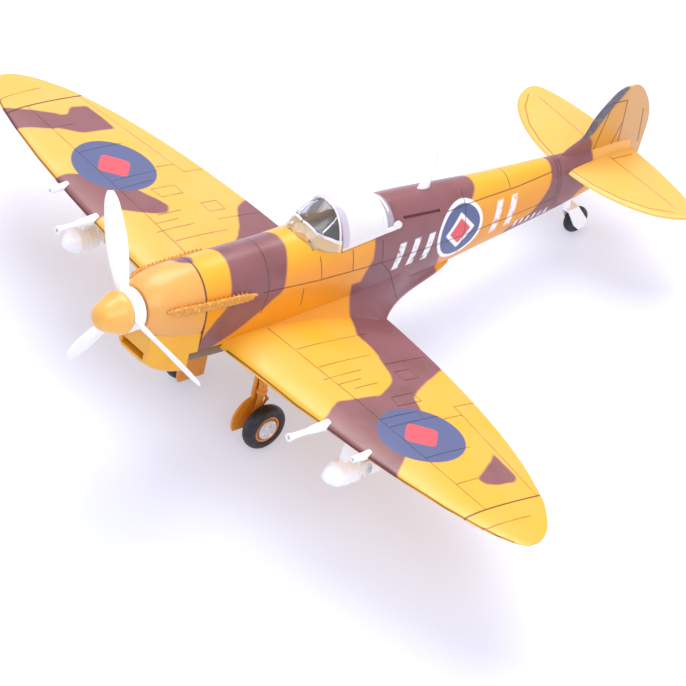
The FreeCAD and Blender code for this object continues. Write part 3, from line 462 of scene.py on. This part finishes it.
def body_lines(sheet):
    """Engraved lines of the fuselage side, in (y, z)."""
    upper = sheet.path((112, 6.6), (123, 6.4), (140, 5.8), (154, 6.0))
    lower = sheet.path((45, 1.6), (63, 0.2), (83, -0.7), (109, -2.0), (125, -2.6), (156, -2.6))
    hatches = sheet.lines(
        ((65.2, 6), (65.2, -0.1)), ((76.4, 5.4), (76.4, -0.4)), ((87.1, 5.6), (87.1, -0.8)),
        ((87.1, -0.8), (92.1, -6.6)), ((92.1, -6.6), (95.4, -15)), ((119, -9), (119, 9.5)),
        ((137, 5.9), (137, 9.6)), ((156.2, -6), (156.2, 8.2)), ((157.4, -6), (157.4, 8.2)),
        ((59, -1), (59, -6)), ((47.5, 11), (46.6, 1.6)), ((46.6, 1.6), (44.6, -4.5)))
    return upper.min(lower).min(hatches)


def slanted_bar(sheet, foot, top, lean, width, corner):
    """A bar from (y, z) at its foot up to the height top, leaning aft."""
    y, z = foot
    return sheet.outline([(y, z), (y + width, z), (y + lean + width, top), (y + lean, top)], corner)


def plain_bars(sheet):
    """Big slanted bars each side of the badge, and a row of short ones behind."""
    forward = ((91.6, -5.0, 2.8), (97.2, -5.2, 2.6), (102.8, -5.4, 2.5))
    behind = ((130.2, -6.0, 4.4), (136.0, -5.6, 4.2))
    bars = [slanted_bar(sheet, (y, low), high, 2.2, 2.4, 0.3) for y, low, high in forward]
    bars += [slanted_bar(sheet, (y, low), high, 1.4, 2.4, 0.3) for y, low, high in behind]
    bars += [slanted_bar(sheet, (141.0 + i * 2.5, -7.8), -5.7, 0.4, 1.0, 0.2) for i in range(6)]
    nearest = bars[0]
    for bar in bars[1:]:
        nearest = nearest.min(bar)
    return nearest


def badge(surface, sheet, colour):
    """White-edged blue disc with a white-edged red diamond, and worn white bars."""
    size = BADGE_R * 0.46
    worn = surface.noise(1.6, 3.0).ramp(0.25, 0.5) * 0.86
    colour = surface.paint(colour, WHITE, plain_bars(sheet).inside(DECAL_EDGE) * worn)
    for look, shape, cover in (
            (WHITE, sheet.disc(BADGE_AT, BADGE_R), 0.94),
            (BLUE, sheet.disc(BADGE_AT, BADGE_R - 1.1), 1.0),
            (WHITE, sheet.outline(diamond(BADGE_AT, size + 1.6), 0.9), 0.94),
            (RED, sheet.outline(diamond(BADGE_AT, size), 0.9), 1.0)):
        colour = surface.paint(colour, look, shape.inside(DECAL_EDGE) * cover)
    return colour


def body_brown(surface):
    """Where the fuselage is brown: its own bands, the wing roots and the nose patch."""
    y = surface.y + surface.wobble(7.0, 0.6)
    z = surface.z + surface.wobble(9.0, 0.5)
    bands = Sheet(y, z).union(BODY_BROWN)
    root = Sheet(surface.x + surface.wobble(6.0, 0.5), y).union(ROOT_BROWN)
    below_root = surface.z + 5.0
    nose = Sheet(surface.x, surface.y).outline(NOSE_BROWN)
    above_nose = surface.z * -1.0 + 4.0
    return bands.min(root.max(below_root)).min(nose.max(above_nose)).inside(SPRAY_EDGE)


def body_skin():
    """Camouflage, markings and engraved lines of the fuselage."""
    surface = Surface("body_paint")
    flat = Sheet(surface.y, surface.z)
    # orange sides turning yellow towards the top: partly the plastic's own deeper tone, partly painted light,
    # lighter on top where the overhead light falls
    ground = surface.paint(ORANGE, YELLOW, surface.z.ramp(1.0, 11.0))
    ground = surface.paint(ground, COWL_TAN, surface.y.ramp(26.0, 24.6) * 0.8)
    ground = surface.paint(ground, YELLOW_PALE, surface.y.ramp(168.0, 173.0) * 0.9)
    ground = surface.paint(ground, YELLOW_PALE, surface.noise(14.0, 3.0).ramp(0.5, 0.9) * 0.4)
    brown = surface.paint(BROWN, BROWN_DARK, surface.noise(10.0, 3.0).ramp(0.4, 0.8))
    colour = surface.paint(ground, brown, body_brown(surface))
    colour = badge(surface, flat, colour)
    groove = body_lines(flat).stroke(0.16)
    seam = flat.line((COWL_SEAM, -14), (COWL_SEAM, 12)).stroke(0.3)
    colour = surface.paint(colour, WASH, groove * LINE_WASH)
    colour = surface.paint(colour, WASH, seam * SEAM_WASH)
    surface.colour(colour)
    surface.moulded(groove.max(seam))
    return surface.material


def fin_skin():
    """Fin and rudder: brown root, worn grey leading edge, engraved panel."""
    surface = Surface("fin_paint")
    flat = Sheet(surface.y, surface.z)
    ground = surface.paint(FIN_YELLOW, RUDDER_TAN, surface.y.ramp(179.5, 181.5))
    colour = surface.paint(ground, BROWN, flat.union(FIN_BROWN).inside(0.6))
    worn = surface.noise(2.0, 3.0).ramp(0.25, 0.5) * 0.3 + 0.7
    colour = surface.paint(colour, FADED_BLUE, flat.outline(FIN_EDGE, 1.0).inside(0.6) * worn)
    panel = flat.path((170.3, 5.2), (175.0, 21.8), (180.4, 21.4), (180.6, 4.8), (170.3, 5.2))
    brace = flat.path((177, 5), (179.6, 12.6), (180.4, 14))
    trim_tab = flat.line((188.2, 16), (189.4, 5))
    groove = panel.min(brace).min(trim_tab).stroke(0.2)
    surface.colour(surface.paint(colour, WASH, groove * LINE_WASH))
    surface.moulded(groove)
    return surface.material


def tail_skin():
    """Tailplanes: yellow with an engraved hinge line and leading edge."""
    surface = Surface("tail_paint")
    out = Sheet(surface.x.abs(), surface.y)
    ground = surface.paint(YELLOW, YELLOW_PALE, surface.noise(10.0, 3.0).ramp(0.35, 0.75) * 0.3 + 0.7)
    # the dark line along the leading edge is partly an engraved line with wash, partly painted shade along
    # the edge
    front = out.path((3, 161.6), (12, 163.0), (20, 165.8), (27, 170.4), (31.5, 175.6))
    hinge = out.path((3, 176.5), (29, 177.6)).min(out.line((4, 176.5), (4, 184)))
    groove = hinge.min(front).stroke(0.18)
    surface.colour(surface.paint(ground, WASH, groove * 0.5))
    surface.moulded(groove)
    return surface.material


def cockpit_skin():
    """Pale grey interior, with painted shade that makes it near black from the instrument panel forward."""
    surface = Surface("cockpit_paint")
    pale = surface.paint(GREY, srgb(190, 194, 190), surface.noise(2.5, 3.0).ramp(0.4, 0.8) * 0.6)
    # painted shade: the tub turns near black forward of about y 71, under the coaming and windscreen
    surface.colour(surface.paint(pale, DARK, surface.y.ramp(72.5, 70.5)))
    surface.moulded(gloss=0.5)
    return surface.material


def plastic(name, main, other, size, gloss=0.34):
    """Plain moulded plastic with a second tone in soft patches."""
    surface = Surface(name)
    surface.colour(surface.paint(main, other, surface.noise(size, 3.0).ramp(0.4, 0.8) * 0.6))
    surface.moulded(gloss=gloss)
    return surface.material


def washed(name, main, dark, size, gloss):
    """Painted part with dark wash in its fine hollows."""
    surface = Surface(name)
    grime = surface.noise(size, 5.0, 0.7).ramp(0.48, 0.62)
    surface.colour(surface.paint(dark, main, grime))
    surface.moulded(grime * -0.05, depth=1.0, grain=0.02, gloss=gloss)
    return surface.material


def clear(name, tint, haze, roughness):
    """Clear moulded plastic. Haze is its share of milky scatter."""
    surface = Surface(name)
    surface.colour(surface.paint(tint, WHITE, surface.noise(5.0).ramp(0.4, 0.8) * 0.3))
    surface.relief(surface.noise(3.0) * 0.004)
    surface.set(roughness=roughness, transmission_weight=1.0 - haze, ior=1.15)
    surface.set(coat_weight=0.8, coat_roughness=0.05)
    return surface.material


def rubber(name):
    """Black tyre with faint bluish patches of painted sheen."""
    surface = Surface(name)
    # bluish patches are painted sheen, standing in for highlights of the bright room on the black rubber
    bluish_sheen = surface.noise(3.0, 3.0).ramp(0.45, 0.8) * 0.6
    surface.colour(surface.paint(BLACK, srgb(62, 66, 88), bluish_sheen))
    surface.relief(surface.noise(0.5, 3.0) * 0.015)
    surface.roughness((surface.noise(2.0) - 0.5) * 0.2 + 0.42)
    return surface.material


# plastic and washed take a main colour, a second tone, its patch size and a gloss;
# clear takes a tint, its haze and a roughness
MATERIALS = {
    "wing": wing_skin(),
    "body": body_skin(),
    "fin": fin_skin(),
    "tail": tail_skin(),
    "yellow": plastic("yellow_plastic", YELLOW, ORANGE, 7.0),
    "spinner": plastic("spinner_plastic", YELLOW_PALE, YELLOW, 4.0, gloss=0.28),
    "orange": plastic("door_paint", srgb(226, 146, 34), srgb(206, 118, 24), 3.0, gloss=0.3),
    "rim": plastic("rim_paint", srgb(226, 140, 46), srgb(150, 78, 24), 1.6, gloss=0.3),
    "olive": plastic("belly_paint", OLIVE, srgb(98, 72, 46), 4.0, gloss=0.5),
    "white": plastic("white_plastic", WHITE, srgb(240, 242, 250), 5.0, gloss=0.3),
    "bronze": washed("exhaust_paint", BRONZE, srgb(214, 150, 62), 1.2, gloss=0.34),
    "grey": cockpit_skin(),
    "mauve": plastic("armour_paint", MAUVE, srgb(140, 120, 138), 2.5, gloss=0.5),
    "dark": plastic("mesh_paint", DARK, srgb(30, 26, 26), 1.0, gloss=0.6),
    "tyre": rubber("tyre_black"),
    "silver": washed("cap_paint", SILVER, srgb(204, 208, 214), 1.2, gloss=0.25),
    "glass": clear("canopy_clear", (0.92, 0.93, 0.98, 1.0), 0.03, 0.03),
    # the hood's white tint and high milky share are painted reflection: they stand in for the soft box's
    # glare on the nearly clear hood
    "haze": clear("hood_painted_glare", (0.99, 1.0, 1.0, 1.0), 0.8, 0.03),
    "smoke": clear("rear_clear", (0.50, 0.45, 0.55, 1.0), 0.7, 0.03),
    "frost": clear("canopy_frame", (0.72, 0.66, 0.82, 1.0), 0.75, 0.2),
    "white_frame": clear("canopy_edge", (0.95, 0.93, 1.0, 1.0), 0.85, 0.2),
    "amber": clear("windscreen_foot", (1.0, 0.76, 0.40, 1.0), 0.9, 0.15),
}

# material of the CAD nodes whose names begin with these words
NODE_LOOKS = {
    "wing": ("wing_upper", "wing_tip"),
    "body": ("fuselage", "nose_cowling"),
    "fin": ("tail_fin",),
    "tail": ("tailplane",),
    "yellow": ("chin_intake", "wing_lower", "firewall", "wing_spar"),
    "spinner": ("spinner",),
    "orange": ("gear_door", "gear_leg"),
    "rim": ("wheel_rim",),
    "olive": ("belly_panel",),
    "white": ("propeller", "prop_shaft", "nose_bush", "shaft_collar", "aerial_mast", "tail_fork", "tail_hub",
              "cannon_barrel", "cannon_stub", "bomb"),
    "bronze": ("exhaust",),
    "grey": ("cockpit_tub", "pilot_seat"),
    "mauve": ("head_armour",),
    "dark": ("intake_mesh", "instrument_panel", "control_stick"),
    "tyre": ("tyre", "tail_tyre"),
    "silver": ("hub_cap",),
    "glass": ("windscreen",),
    "smoke": ("rear_window",),
    "haze": ("canopy_hood",),
}


def dress_nodes():
    """Give every CAD node its material."""
    for look, prefixes in NODE_LOOKS.items():
        for name, node in frame["nodes"].items():
            if name.startswith(prefixes):
                node.data.materials.clear()
                node.data.materials.append(MATERIALS[look])


# --- mesh tools -----------------------------------------------------------------------------

PORTWARD = Vector((1, 0, 0))
AFT = Vector((0, 1, 0))
UPWARD = Vector((0, 0, 1))


def add_piece(name, points, faces, look, body, slot, smooth=35):
    """A mesh from airframe points, riding on a body."""
    mesh = bpy.data.meshes.new(name)
    mesh.from_pydata([STAND @ Vector(p) for p in points], [], faces)
    mesh.validate()
    mesh.materials.append(MATERIALS[look])
    mesh.shade_smooth()
    mesh.set_sharp_from_angle(angle=math.radians(smooth))
    piece = bpy.data.objects.new(name, mesh)
    bpy.context.scene.collection.objects.link(piece)
    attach(piece, body)
    return piece


def grid_faces(rows, columns, wrap_rows=False, wrap_columns=False):
    """Quads of a grid of points stored row by row."""
    faces = []
    for r in range(rows if wrap_rows else rows - 1):
        for c in range(columns if wrap_columns else columns - 1):
            r1, c1 = (r + 1) % rows, (c + 1) % columns
            faces.append((r * columns + c, r * columns + c1, r1 * columns + c1, r1 * columns + c))
    return faces


def lathe(profile, centre, steps=48, axis="X"):
    """Points and faces of a ring turned from closed (along, radius) pairs."""
    points = []
    for i in range(steps):
        angle = 2 * math.pi * i / steps
        c, s = math.cos(angle), math.sin(angle)
        for along, radius in profile:
            turned = (along, radius * c, radius * s) if axis == "X" else (radius * s, along, radius * c)
            points.append(Vector(centre) + Vector(turned))
    return points, grid_faces(steps, len(profile), True, True)


def sweep(path, section, up=UPWARD):
    """Points and faces of an outline swept along a path; section gives (side, up) pairs at t."""
    points = []
    path = [Vector(p) for p in path]
    count = len(path)
    for i, place in enumerate(path):
        along = (path[min(i + 1, count - 1)] - path[max(i - 1, 0)]).normalized()
        side = along.cross(up).normalized()
        lift = side.cross(along)
        for a, b in section(i / (count - 1)):
            points.append(place + side * a + lift * b)
    width = len(section(0))
    front = tuple(range(width))[::-1]
    back = tuple(range((count - 1) * width, count * width))
    return points, grid_faces(count, width, False, True) + [front, back]


def ring(width, height, steps=16):
    """An elliptical outline."""
    turns = [2 * math.pi * i / steps for i in range(steps)]
    return [(width / 2 * math.cos(t), height / 2 * math.sin(t)) for t in turns]


def joined(shapes):
    """Several (points, faces) pairs as one."""
    points, faces = [], []
    for more_points, more_faces in shapes:
        faces += [tuple(i + len(points) for i in face) for face in more_faces]
        points += more_points
    return points, faces


def block(low, high, bevel=0.15):
    """Points and faces of a block with chamfered edges along y."""
    (x0, y0, z0), (x1, y1, z1) = low, high
    b = bevel
    outline = [(x0 + b, z0), (x1 - b, z0), (x1, z0 + b), (x1, z1 - b),
               (x1 - b, z1), (x0 + b, z1), (x0, z1 - b), (x0, z0 + b)]
    rows = ((y0, b), (y0 + b, 0), (y1 - b, 0), (y1, b))
    middle = ((x0 + x1) / 2, (z0 + z1) / 2)
    points = []
    for y, inset in rows:
        for x, z in outline:
            shrink_x = math.copysign(min(inset, abs(x - middle[0])), middle[0] - x)
            shrink_z = math.copysign(min(inset, abs(z - middle[1])), middle[1] - z)
            points.append(Vector((x + shrink_x, y, z + shrink_z)))
    width = len(outline)
    front = tuple(range(width))[::-1]
    back = tuple(range(len(points) - width, len(points)))
    return points, grid_faces(len(rows), width, False, True) + [front, back]


# --- canopy ---------------------------------------------------------------------------------

FRAME_SINK = 0.12                       # how deep a frame is set into the clear part
FRAME_RISE = 0.22 - FRAME_SINK          # and how far it stands out
# upper limit of the windscreen's tinted foot: y, degrees up the arch
FOOT = ((60.65, 90), (62.4, 90), (63.4, 88), (63.9, 68), (64.8, 46), (66.9, 33), (70.2, 21), (72.2, 17))


def between(rows, at):
    """Row of numbers interpolated from a table keyed by its first column."""
    for low, high in zip(rows, rows[1:]):
        if at <= high[0]:
            break
    t = (at - low[0]) / (high[0] - low[0])
    return [a + (b - a) * t for a, b in zip(low, high)]


def arch_point(half, rise, angle, lift):
    """Point of the canopy's arch: sideways and up from its base."""
    c, s = math.cos(angle), math.sin(angle)
    across = math.copysign((half + lift) * abs(c) ** (2 / ARCH_POWER), c)
    return across, (rise + lift) * max(s, 0) ** (2 / ARCH_POWER)


def on_hood(along, angle, lift):
    """A point on the hood's outer surface."""
    _, half, rise = between(HOOD, along)
    x, up = arch_point(half, rise, angle, lift)
    c, s = math.cos(RAIL_TILT), math.sin(RAIL_TILT)
    return Vector((x, RAIL_AT[0] + along * c - up * s, RAIL_AT[1] + along * s + up * c))


def on_screen(y, angle, lift):
    """A point on the windscreen's outer surface."""
    _, half, top, bottom = between(WINDSCREEN, y)
    x, up = arch_point(half, top - bottom, angle, lift)
    return Vector((x, y, bottom + up))


def strip(surface, starts, ends):
    """A raised band on a surface, between two lists of (along, angle) pairs."""
    points = []
    for (a0, t0), (a1, t1) in zip(starts, ends):
        points += [surface(a0, t0, -FRAME_SINK), surface(a0, t0, FRAME_RISE)]
        points += [surface(a1, t1, FRAME_RISE), surface(a1, t1, -FRAME_SINK)]
    count = len(starts)
    faces = grid_faces(count, 4, False, True)
    return points, faces + [(3, 2, 1, 0), tuple(range(4 * count - 4, 4 * count))]


def spread(low, high, count):
    """Evenly spaced numbers."""
    return [low + (high - low) * i / (count - 1) for i in range(count)]


def bow(surface, a0, a1, foot):
    """A band across the canopy between two stations, from an angle foot above each side."""
    angles = spread(foot, math.pi - foot, 40)
    return strip(surface, [(a0, t) for t in angles], [(a1, t) for t in angles])


def both(band):
    """A band and its mirror image."""
    points, faces = band
    mirror = [Vector((-p.x, p.y, p.z)) for p in points]
    return joined([band, (mirror, [face[::-1] for face in faces])])


def along_line(surface, path, width):
    """A band of constant angular width along a path of (along, angle) pairs in degrees."""
    starts, ends = [], []
    for (a0, t0), (a1, t1) in zip(path, path[1:]):
        for share in spread(0, 1, 9):
            place = a0 + (a1 - a0) * share
            angle = math.radians(t0 + (t1 - t0) * share)
            starts.append((place - width * 0.3, angle - width * 0.055))
            ends.append((place + width * 0.3, angle + width * 0.055))
    return strip(surface, starts, ends)


def on_deck(y, angle, lift):
    """A point on the round body top behind the hood, which narrows aft."""
    half, top, wide = REAR_DECK
    narrowing = 1 - (y - 89.0) * 0.012
    across = (half + lift) * narrowing * math.cos(angle)
    return Vector((across, y, wide + (top + lift - wide) * math.sin(angle)))


def make_canopy():
    """Frames, tinted foot and rail edges of the clear parts."""
    foot = strip(on_screen, [(y, 0.04) for y, _ in FOOT], [(y, math.radians(limit)) for y, limit in FOOT])
    add_piece("windscreen_foot", *both(foot), "amber", "airframe", "clear")
    lip = along_line(on_screen, FOOT[2:], 0.6)
    streak = along_line(on_screen, [(66.3, 43), (70.2, 52), (71.6, 58)], 0.7)
    rear_bow = bow(on_screen, 71.3, 71.9, 0.3)
    frames = joined([both(lip), both(streak), rear_bow])
    add_piece("windscreen_frames", *frames, "white_frame", "airframe", "clear")
    add_piece("hood_bow", *bow(on_hood, 0.05, 2.1, 0.06), "frost", "hood", "clear")
    heel = along_line(on_hood, [(15.0, 23), (13.4, 16), (10.8, 9), (6.6, 6)], 0.9)
    sill = along_line(on_hood, [(1.8, 4.5), (8.0, 4.5), (15.6, 4.5)], 0.9)
    frames = joined([both(heel), both(sill), bow(on_hood, 14.5, 15.4, 0.38)])
    add_piece("hood_frames", *frames, "white_frame", "hood", "clear")
    add_piece("rear_window_bow", *bow(on_deck, 90.6, 91.3, 0.75), "white_frame", "airframe", "clear")


# --- cockpit --------------------------------------------------------------------------------

def fit_out(name, shape, look):
    """A piece fixed in the cockpit."""
    add_piece(name, *shape, look, "airframe", "cockpit_grey")


def console(side):
    """Side shelf with a raised box and a lever."""
    x0, x1 = sorted((side * 3.2, side * 4.6))
    lever = [(side * 3.8, 73.6, 0.2), (side * 3.8, 73.2, 1.8), (side * 3.7, 72.9, 2.6)]
    return joined([
        block((x0, 67.2, -1.6), (x1, 75.4, 0.4)),
        block((x0, 70.0, 0.4), (x1, 72.2, 1.6)),
        sweep(lever, lambda t: ring(0.45, 0.45, 8), up=PORTWARD)])


def make_cockpit():
    """Harness, consoles, coaming, gunsight, dials and head rest."""
    straps = []
    for x in (-1.2, 1.2):
        path = [(x, 83.4, 5.2), (x, 82.6, 2.6), (x, 81.9, -1.2), (x, 80.6, -3.9), (x, 78.2, -4.1)]
        straps.append(sweep(path, lambda t: ring(0.9, 0.3, 8), up=Vector((0, -1, 0.2))))
    fit_out("seat_harness", joined(straps), "white")
    fit_out("side_consoles", joined([console(side) for side, _ in SIDES]), "dark")
    fit_out("panel_coaming", block((-4.6, 63.4, 8.6), (4.6, 68.6, 9.8), 0.4), "dark")
    body = block((-1.1, 65.4, 7.0), (1.1, 67.0, 8.8))
    reflector = block((-0.7, 66.2, 8.8), (0.7, 66.5, 10.6), 0.05)
    fit_out("gunsight", joined([body, reflector]), "dark")
    bezel = [(66.05, 0.62), (66.05, 0.95), (66.3, 0.95), (66.3, 0.7), (66.16, 0.62)]
    dials = [lathe(bezel, (x, 0, z), 24, "Y") for x in (-2.6, 0.0, 2.6) for z in (0.4, 3.4)]
    fit_out("dial_bezels", joined(dials), "silver")
    fit_out("head_rest", block((-2.0, 85.0, 6.2), (2.0, 86.0, 10.2), 0.4), "mauve")


# --- exhausts -------------------------------------------------------------------------------

STUBS = 18
STUB_PITCH = 1.46
STUB_HEIGHT = 2.5
FIRST_STUB = 14.2
# line of the exhaust flange on the cowling's side: y, x, z
EXHAUST_RAIL = ((12.2, 8.6, 4.0), (16.0, 9.5, 3.9), (22.0, 10.1, 3.65), (30.0, 10.5, 3.3),
                (37.0, 10.8, 3.0), (41.4, 10.9, 2.8))


def stub(side, y):
    """One flattened pipe that turns aft, with a rolled lip, smaller near the ends of the row."""
    _, x, z = between(EXHAUST_RAIL, y)
    path = [(x - 1.2, y - 0.7, z - 0.1), (x, y - 0.6, z - 0.1), (x + 0.45, y - 0.2, z), (x + 0.6, y + 0.4, z)]
    path = [Vector((px * side, py, pz)) for px, py, pz in path]
    height = STUB_HEIGHT * min(1.0, 0.55 + (y - 13.0) / 9.0, 0.55 + (41.0 - y) / 9.0)
    pipe = sweep(path, lambda t: ring(0.62, height, 12))
    lip = [path[-1] + AFT * d for d in (-0.25, -0.1, 0.1)]
    return joined([pipe, sweep(lip, lambda t: ring(0.8, height, 12))])


def make_exhausts():
    """A row of flattened stubs on a tapering flange."""
    for side, word in SIDES:
        stubs = [stub(side, FIRST_STUB + i * STUB_PITCH) for i in range(STUBS)]
        piece = add_piece("exhaust_stubs_" + word, *joined(stubs), "bronze", "airframe", "bronze")
        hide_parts("exhaust_" + word)
        rail = [(side * (x - 0.1), y, z) for y, x, z in EXHAUST_RAIL]
        flange = sweep(rail, lambda t: ring(1.1, 0.5 + 2.0 * min(1, 5 * t, 4 * (1 - t)), 12))
        add_piece("exhaust_flange_" + word, *flange, "bronze", "airframe", "bronze")


# --- wheels ---------------------------------------------------------------------------------

HUB_PROFILE = ((1.45, 1.2), (1.45, 2.95), (1.85, 2.98), (2.1, 2.7), (2.05, 2.3), (1.9, 1.9), (1.95, 1.4),
               (2.35, 1.15), (2.55, 0.7), (2.6, 0.02), (2.0, 0.02), (2.0, 1.2))
BOLT_PROFILE = ((1.85, 0.02), (1.85, 0.3), (2.15, 0.27), (2.2, 0.15), (2.2, 0.02))
BOLTS = 8
BOLT_CIRCLE = 2.1
TREAD_STEPS = 24
TREAD_GROOVES = (9, 12, 15)             # steps round the tread that are cut in
SIDEWALL_RIDGES = (3, 21)               # and steps that stand out


def tyre_profile(radius, inner, half):
    """Round-shouldered tyre outline with two sidewall rings and tread grooves."""
    outline = [(-half * 0.8, inner), (-half, inner + 0.35)]
    base = inner + 0.48
    bulge = radius - inner - 0.5
    for i in range(TREAD_STEPS + 1):
        angle = math.pi * i / TREAD_STEPS
        height = base + bulge * abs(math.sin(angle)) ** 0.62
        if i in TREAD_GROOVES:
            height -= 0.13
        if i in SIDEWALL_RIDGES:
            height += 0.05
        outline.append((-half * math.cos(angle), height))
    return outline + [(half, inner + 0.35), (half * 0.8, inner)]


def make_tyre(name, centre, size, body, node):
    """A tyre that stands for its CAD node."""
    shape = lathe(tyre_profile(*size), centre, 72)
    tyre = add_piece(name, *shape, "tyre", body, "tyre_black", 50)
    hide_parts(node)


def hub_shapes(side, centre):
    """Dished cap with a raised centre and a ring of bolts."""
    shapes = [lathe([(side * along, radius) for along, radius in HUB_PROFILE], centre, 48)]
    bolt = [(side * along, radius) for along, radius in BOLT_PROFILE]
    for i in range(BOLTS):
        angle = 2 * math.pi * (i + 0.5) / BOLTS
        at = Vector(centre) + Vector((0, BOLT_CIRCLE * math.cos(angle), BOLT_CIRCLE * math.sin(angle)))
        shapes.append(lathe(bolt, at, 10))
    return joined(shapes)


def make_wheels():
    """Tyres and hub caps."""
    x, y, z = WHEEL_AT
    for side, word in SIDES:
        centre = (side * x, y, z)
        make_tyre("road_tyre_" + word, centre, TYRE, "wheel_" + word, "tyre_" + word)
        cap = add_piece("wheel_cap_" + word, *hub_shapes(side, centre), "silver", "wheel_" + word, "silver")
        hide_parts("hub_cap_" + word)
    make_tyre("tail_road_tyre", TAIL_WHEEL_AT, TAIL_TYRE, "tail_wheel", "tail_tyre")


# --- small outside parts -----------------------------------------------------------------------

def leg_collar(x, y, z):
    """A ring round a gear leg, with chamfered ends."""
    path = [(x, y, z + rise) for rise in (-0.5, -0.3, 0.3, 0.5)]
    widths = (2.6, 3.0, 3.0, 2.6)
    return sweep(path, lambda t: ring(widths[round(t * 3)], widths[round(t * 3)], 20), up=AFT)


def make_gear_details():
    """Leg collars and brake pipe."""
    y = WHEEL_AT[1]
    for side, word in SIDES:
        x = side * LEG_X
        collars = [leg_collar(x, y, z) for z in (-22.0, -26.5, -29.6)]
        pipe = [(x + side * 0.9, y - 1.1, z) for z in spread(-19.0, -29.0, 9)]
        pipe += [(x + side * 0.4, y - 1.4, -33.0), (x, y - 1.2, -37.2)]
        shapes = collars + [sweep(pipe, lambda t: ring(0.36, 0.36, 8), up=AFT)]
        add_piece("leg_fittings_" + word, *joined(shapes), "orange", "airframe", "yellow")


def make_bomb_details():
    """Bands and tail ring of the bombs, and sway braces on the racks."""
    x, y, z = BOMB_AT
    for side, word in SIDES:
        centre = (side * x, y, z)
        shapes = []
        for along in (-2.2, 0.6):
            band = [(along - 0.3, 3.7), (along - 0.25, 3.94), (along + 0.25, 3.94), (along + 0.3, 3.7)]
            shapes.append(lathe(band, centre, 40, "Y"))
        tail = [(5.4, 3.0), (5.4, 3.25), (8.9, 3.25), (8.9, 3.0)]
        shapes.append(lathe(tail, centre, 40, "Y"))
        for lean in (-1, 1):
            brace = [(side * x + lean * out, y + 0.6, height)
                     for out, height in ((0.9, -18.4), (2.2, -19.6), (2.6, -20.7))]
            shapes.append(sweep(brace, lambda t: ring(0.7, 0.7, 10), up=AFT))
        add_piece("bomb_fittings_" + word, *joined(shapes), "white", "airframe", "white")


# --- stage ----------------------------------------------------------------------------------

CAMERA_AIM = Vector((0.01467, -0.02362, 0.01977))
CAMERA_AZIMUTH = math.radians(49.315)
CAMERA_ELEVATION = math.radians(42.474)
CAMERA_DISTANCE = 1.662
CAMERA_ROLL = math.radians(3.0165)
CAMERA_LENS = 320.7
FLOOR_HALF = 4.0
FLOOR_COLOUR = (0.47, 0.51, 0.62, 1.0)
FLOOR_GLOW = (0.91, 0.90, 1.0, 1.0)
ROOM_COLOUR = (0.93, 0.91, 1.0, 1.0)
LIGHT_AIM = Vector((0, 0, 0.03))


def make_camera():
    """Long lens from above, off the port bow."""
    c, s = math.cos(CAMERA_ELEVATION), math.sin(CAMERA_ELEVATION)
    back = Vector((math.sin(CAMERA_AZIMUTH) * c, -math.cos(CAMERA_AZIMUTH) * c, s))
    data = bpy.data.cameras.new("camera")
    data.lens = CAMERA_LENS
    data.clip_start = 0.05
    data.clip_end = 20.0
    camera = bpy.data.objects.new("camera", data)
    camera.matrix_world = (Matrix.Translation(CAMERA_AIM + back * CAMERA_DISTANCE)
                           @ (-back).to_track_quat("-Z", "Y").to_matrix().to_4x4()
                           @ Matrix.Rotation(CAMERA_ROLL, 4, "Z"))
    bpy.context.scene.collection.objects.link(camera)
    bpy.context.scene.camera = camera


def soft_box(name, place, size, power, colour):
    """Square area light aimed at the model."""
    data = bpy.data.lights.new(name, "AREA")
    data.shape = "RECTANGLE"
    data.size = data.size_y = size
    data.energy = power
    data.color = colour
    light = bpy.data.objects.new(name, data)
    light.location = place
    light.rotation_euler = (LIGHT_AIM - Vector(place)).to_track_quat("-Z", "Y").to_euler()
    bpy.context.scene.collection.objects.link(light)


def floor_material():
    """Pale matt floor that glows, which keeps the model's colours from tinting its shadows."""
    material = bpy.data.materials.new("floor_pale")
    material.use_nodes = True
    shader = material.node_tree.nodes["Principled BSDF"]
    shader.inputs["Base Color"].default_value = FLOOR_COLOUR
    shader.inputs["Roughness"].default_value = 0.8
    shader.inputs["Emission Color"].default_value = FLOOR_GLOW
    shader.inputs["Emission Strength"].default_value = 0.42
    return material


def make_stage():
    """Pale floor, bright pale surroundings and two soft boxes."""
    corners = [(-1, -1), (1, -1), (1, 1), (-1, 1)]
    mesh = bpy.data.meshes.new("floor")
    mesh.from_pydata([(x * FLOOR_HALF, y * FLOOR_HALF, 0) for x, y in corners], [], [(0, 1, 2, 3)])
    mesh.materials.append(floor_material())
    floor = bpy.data.objects.new("floor", mesh)
    bpy.context.scene.collection.objects.link(floor)
    world = bpy.data.worlds.new("studio")
    world.use_nodes = True
    background = world.node_tree.nodes["Background"]
    background.inputs["Color"].default_value = ROOM_COLOUR
    background.inputs["Strength"].default_value = 0.8
    bpy.context.scene.world = world
    soft_box("key", (-0.35, 0.45, 1.1), 0.9, 13.0, (1.0, 0.97, 0.93))
    soft_box("fill", (0.9, -0.3, 0.9), 0.8, 5.0, (1.0, 0.98, 0.96))
    bpy.context.scene.view_settings.view_transform = "Standard"


dress_nodes()
make_canopy()
make_cockpit()
make_exhausts()
make_wheels()
make_gear_details()
make_bomb_details()
make_camera()
make_stage()
bpy.context.view_layer.update()
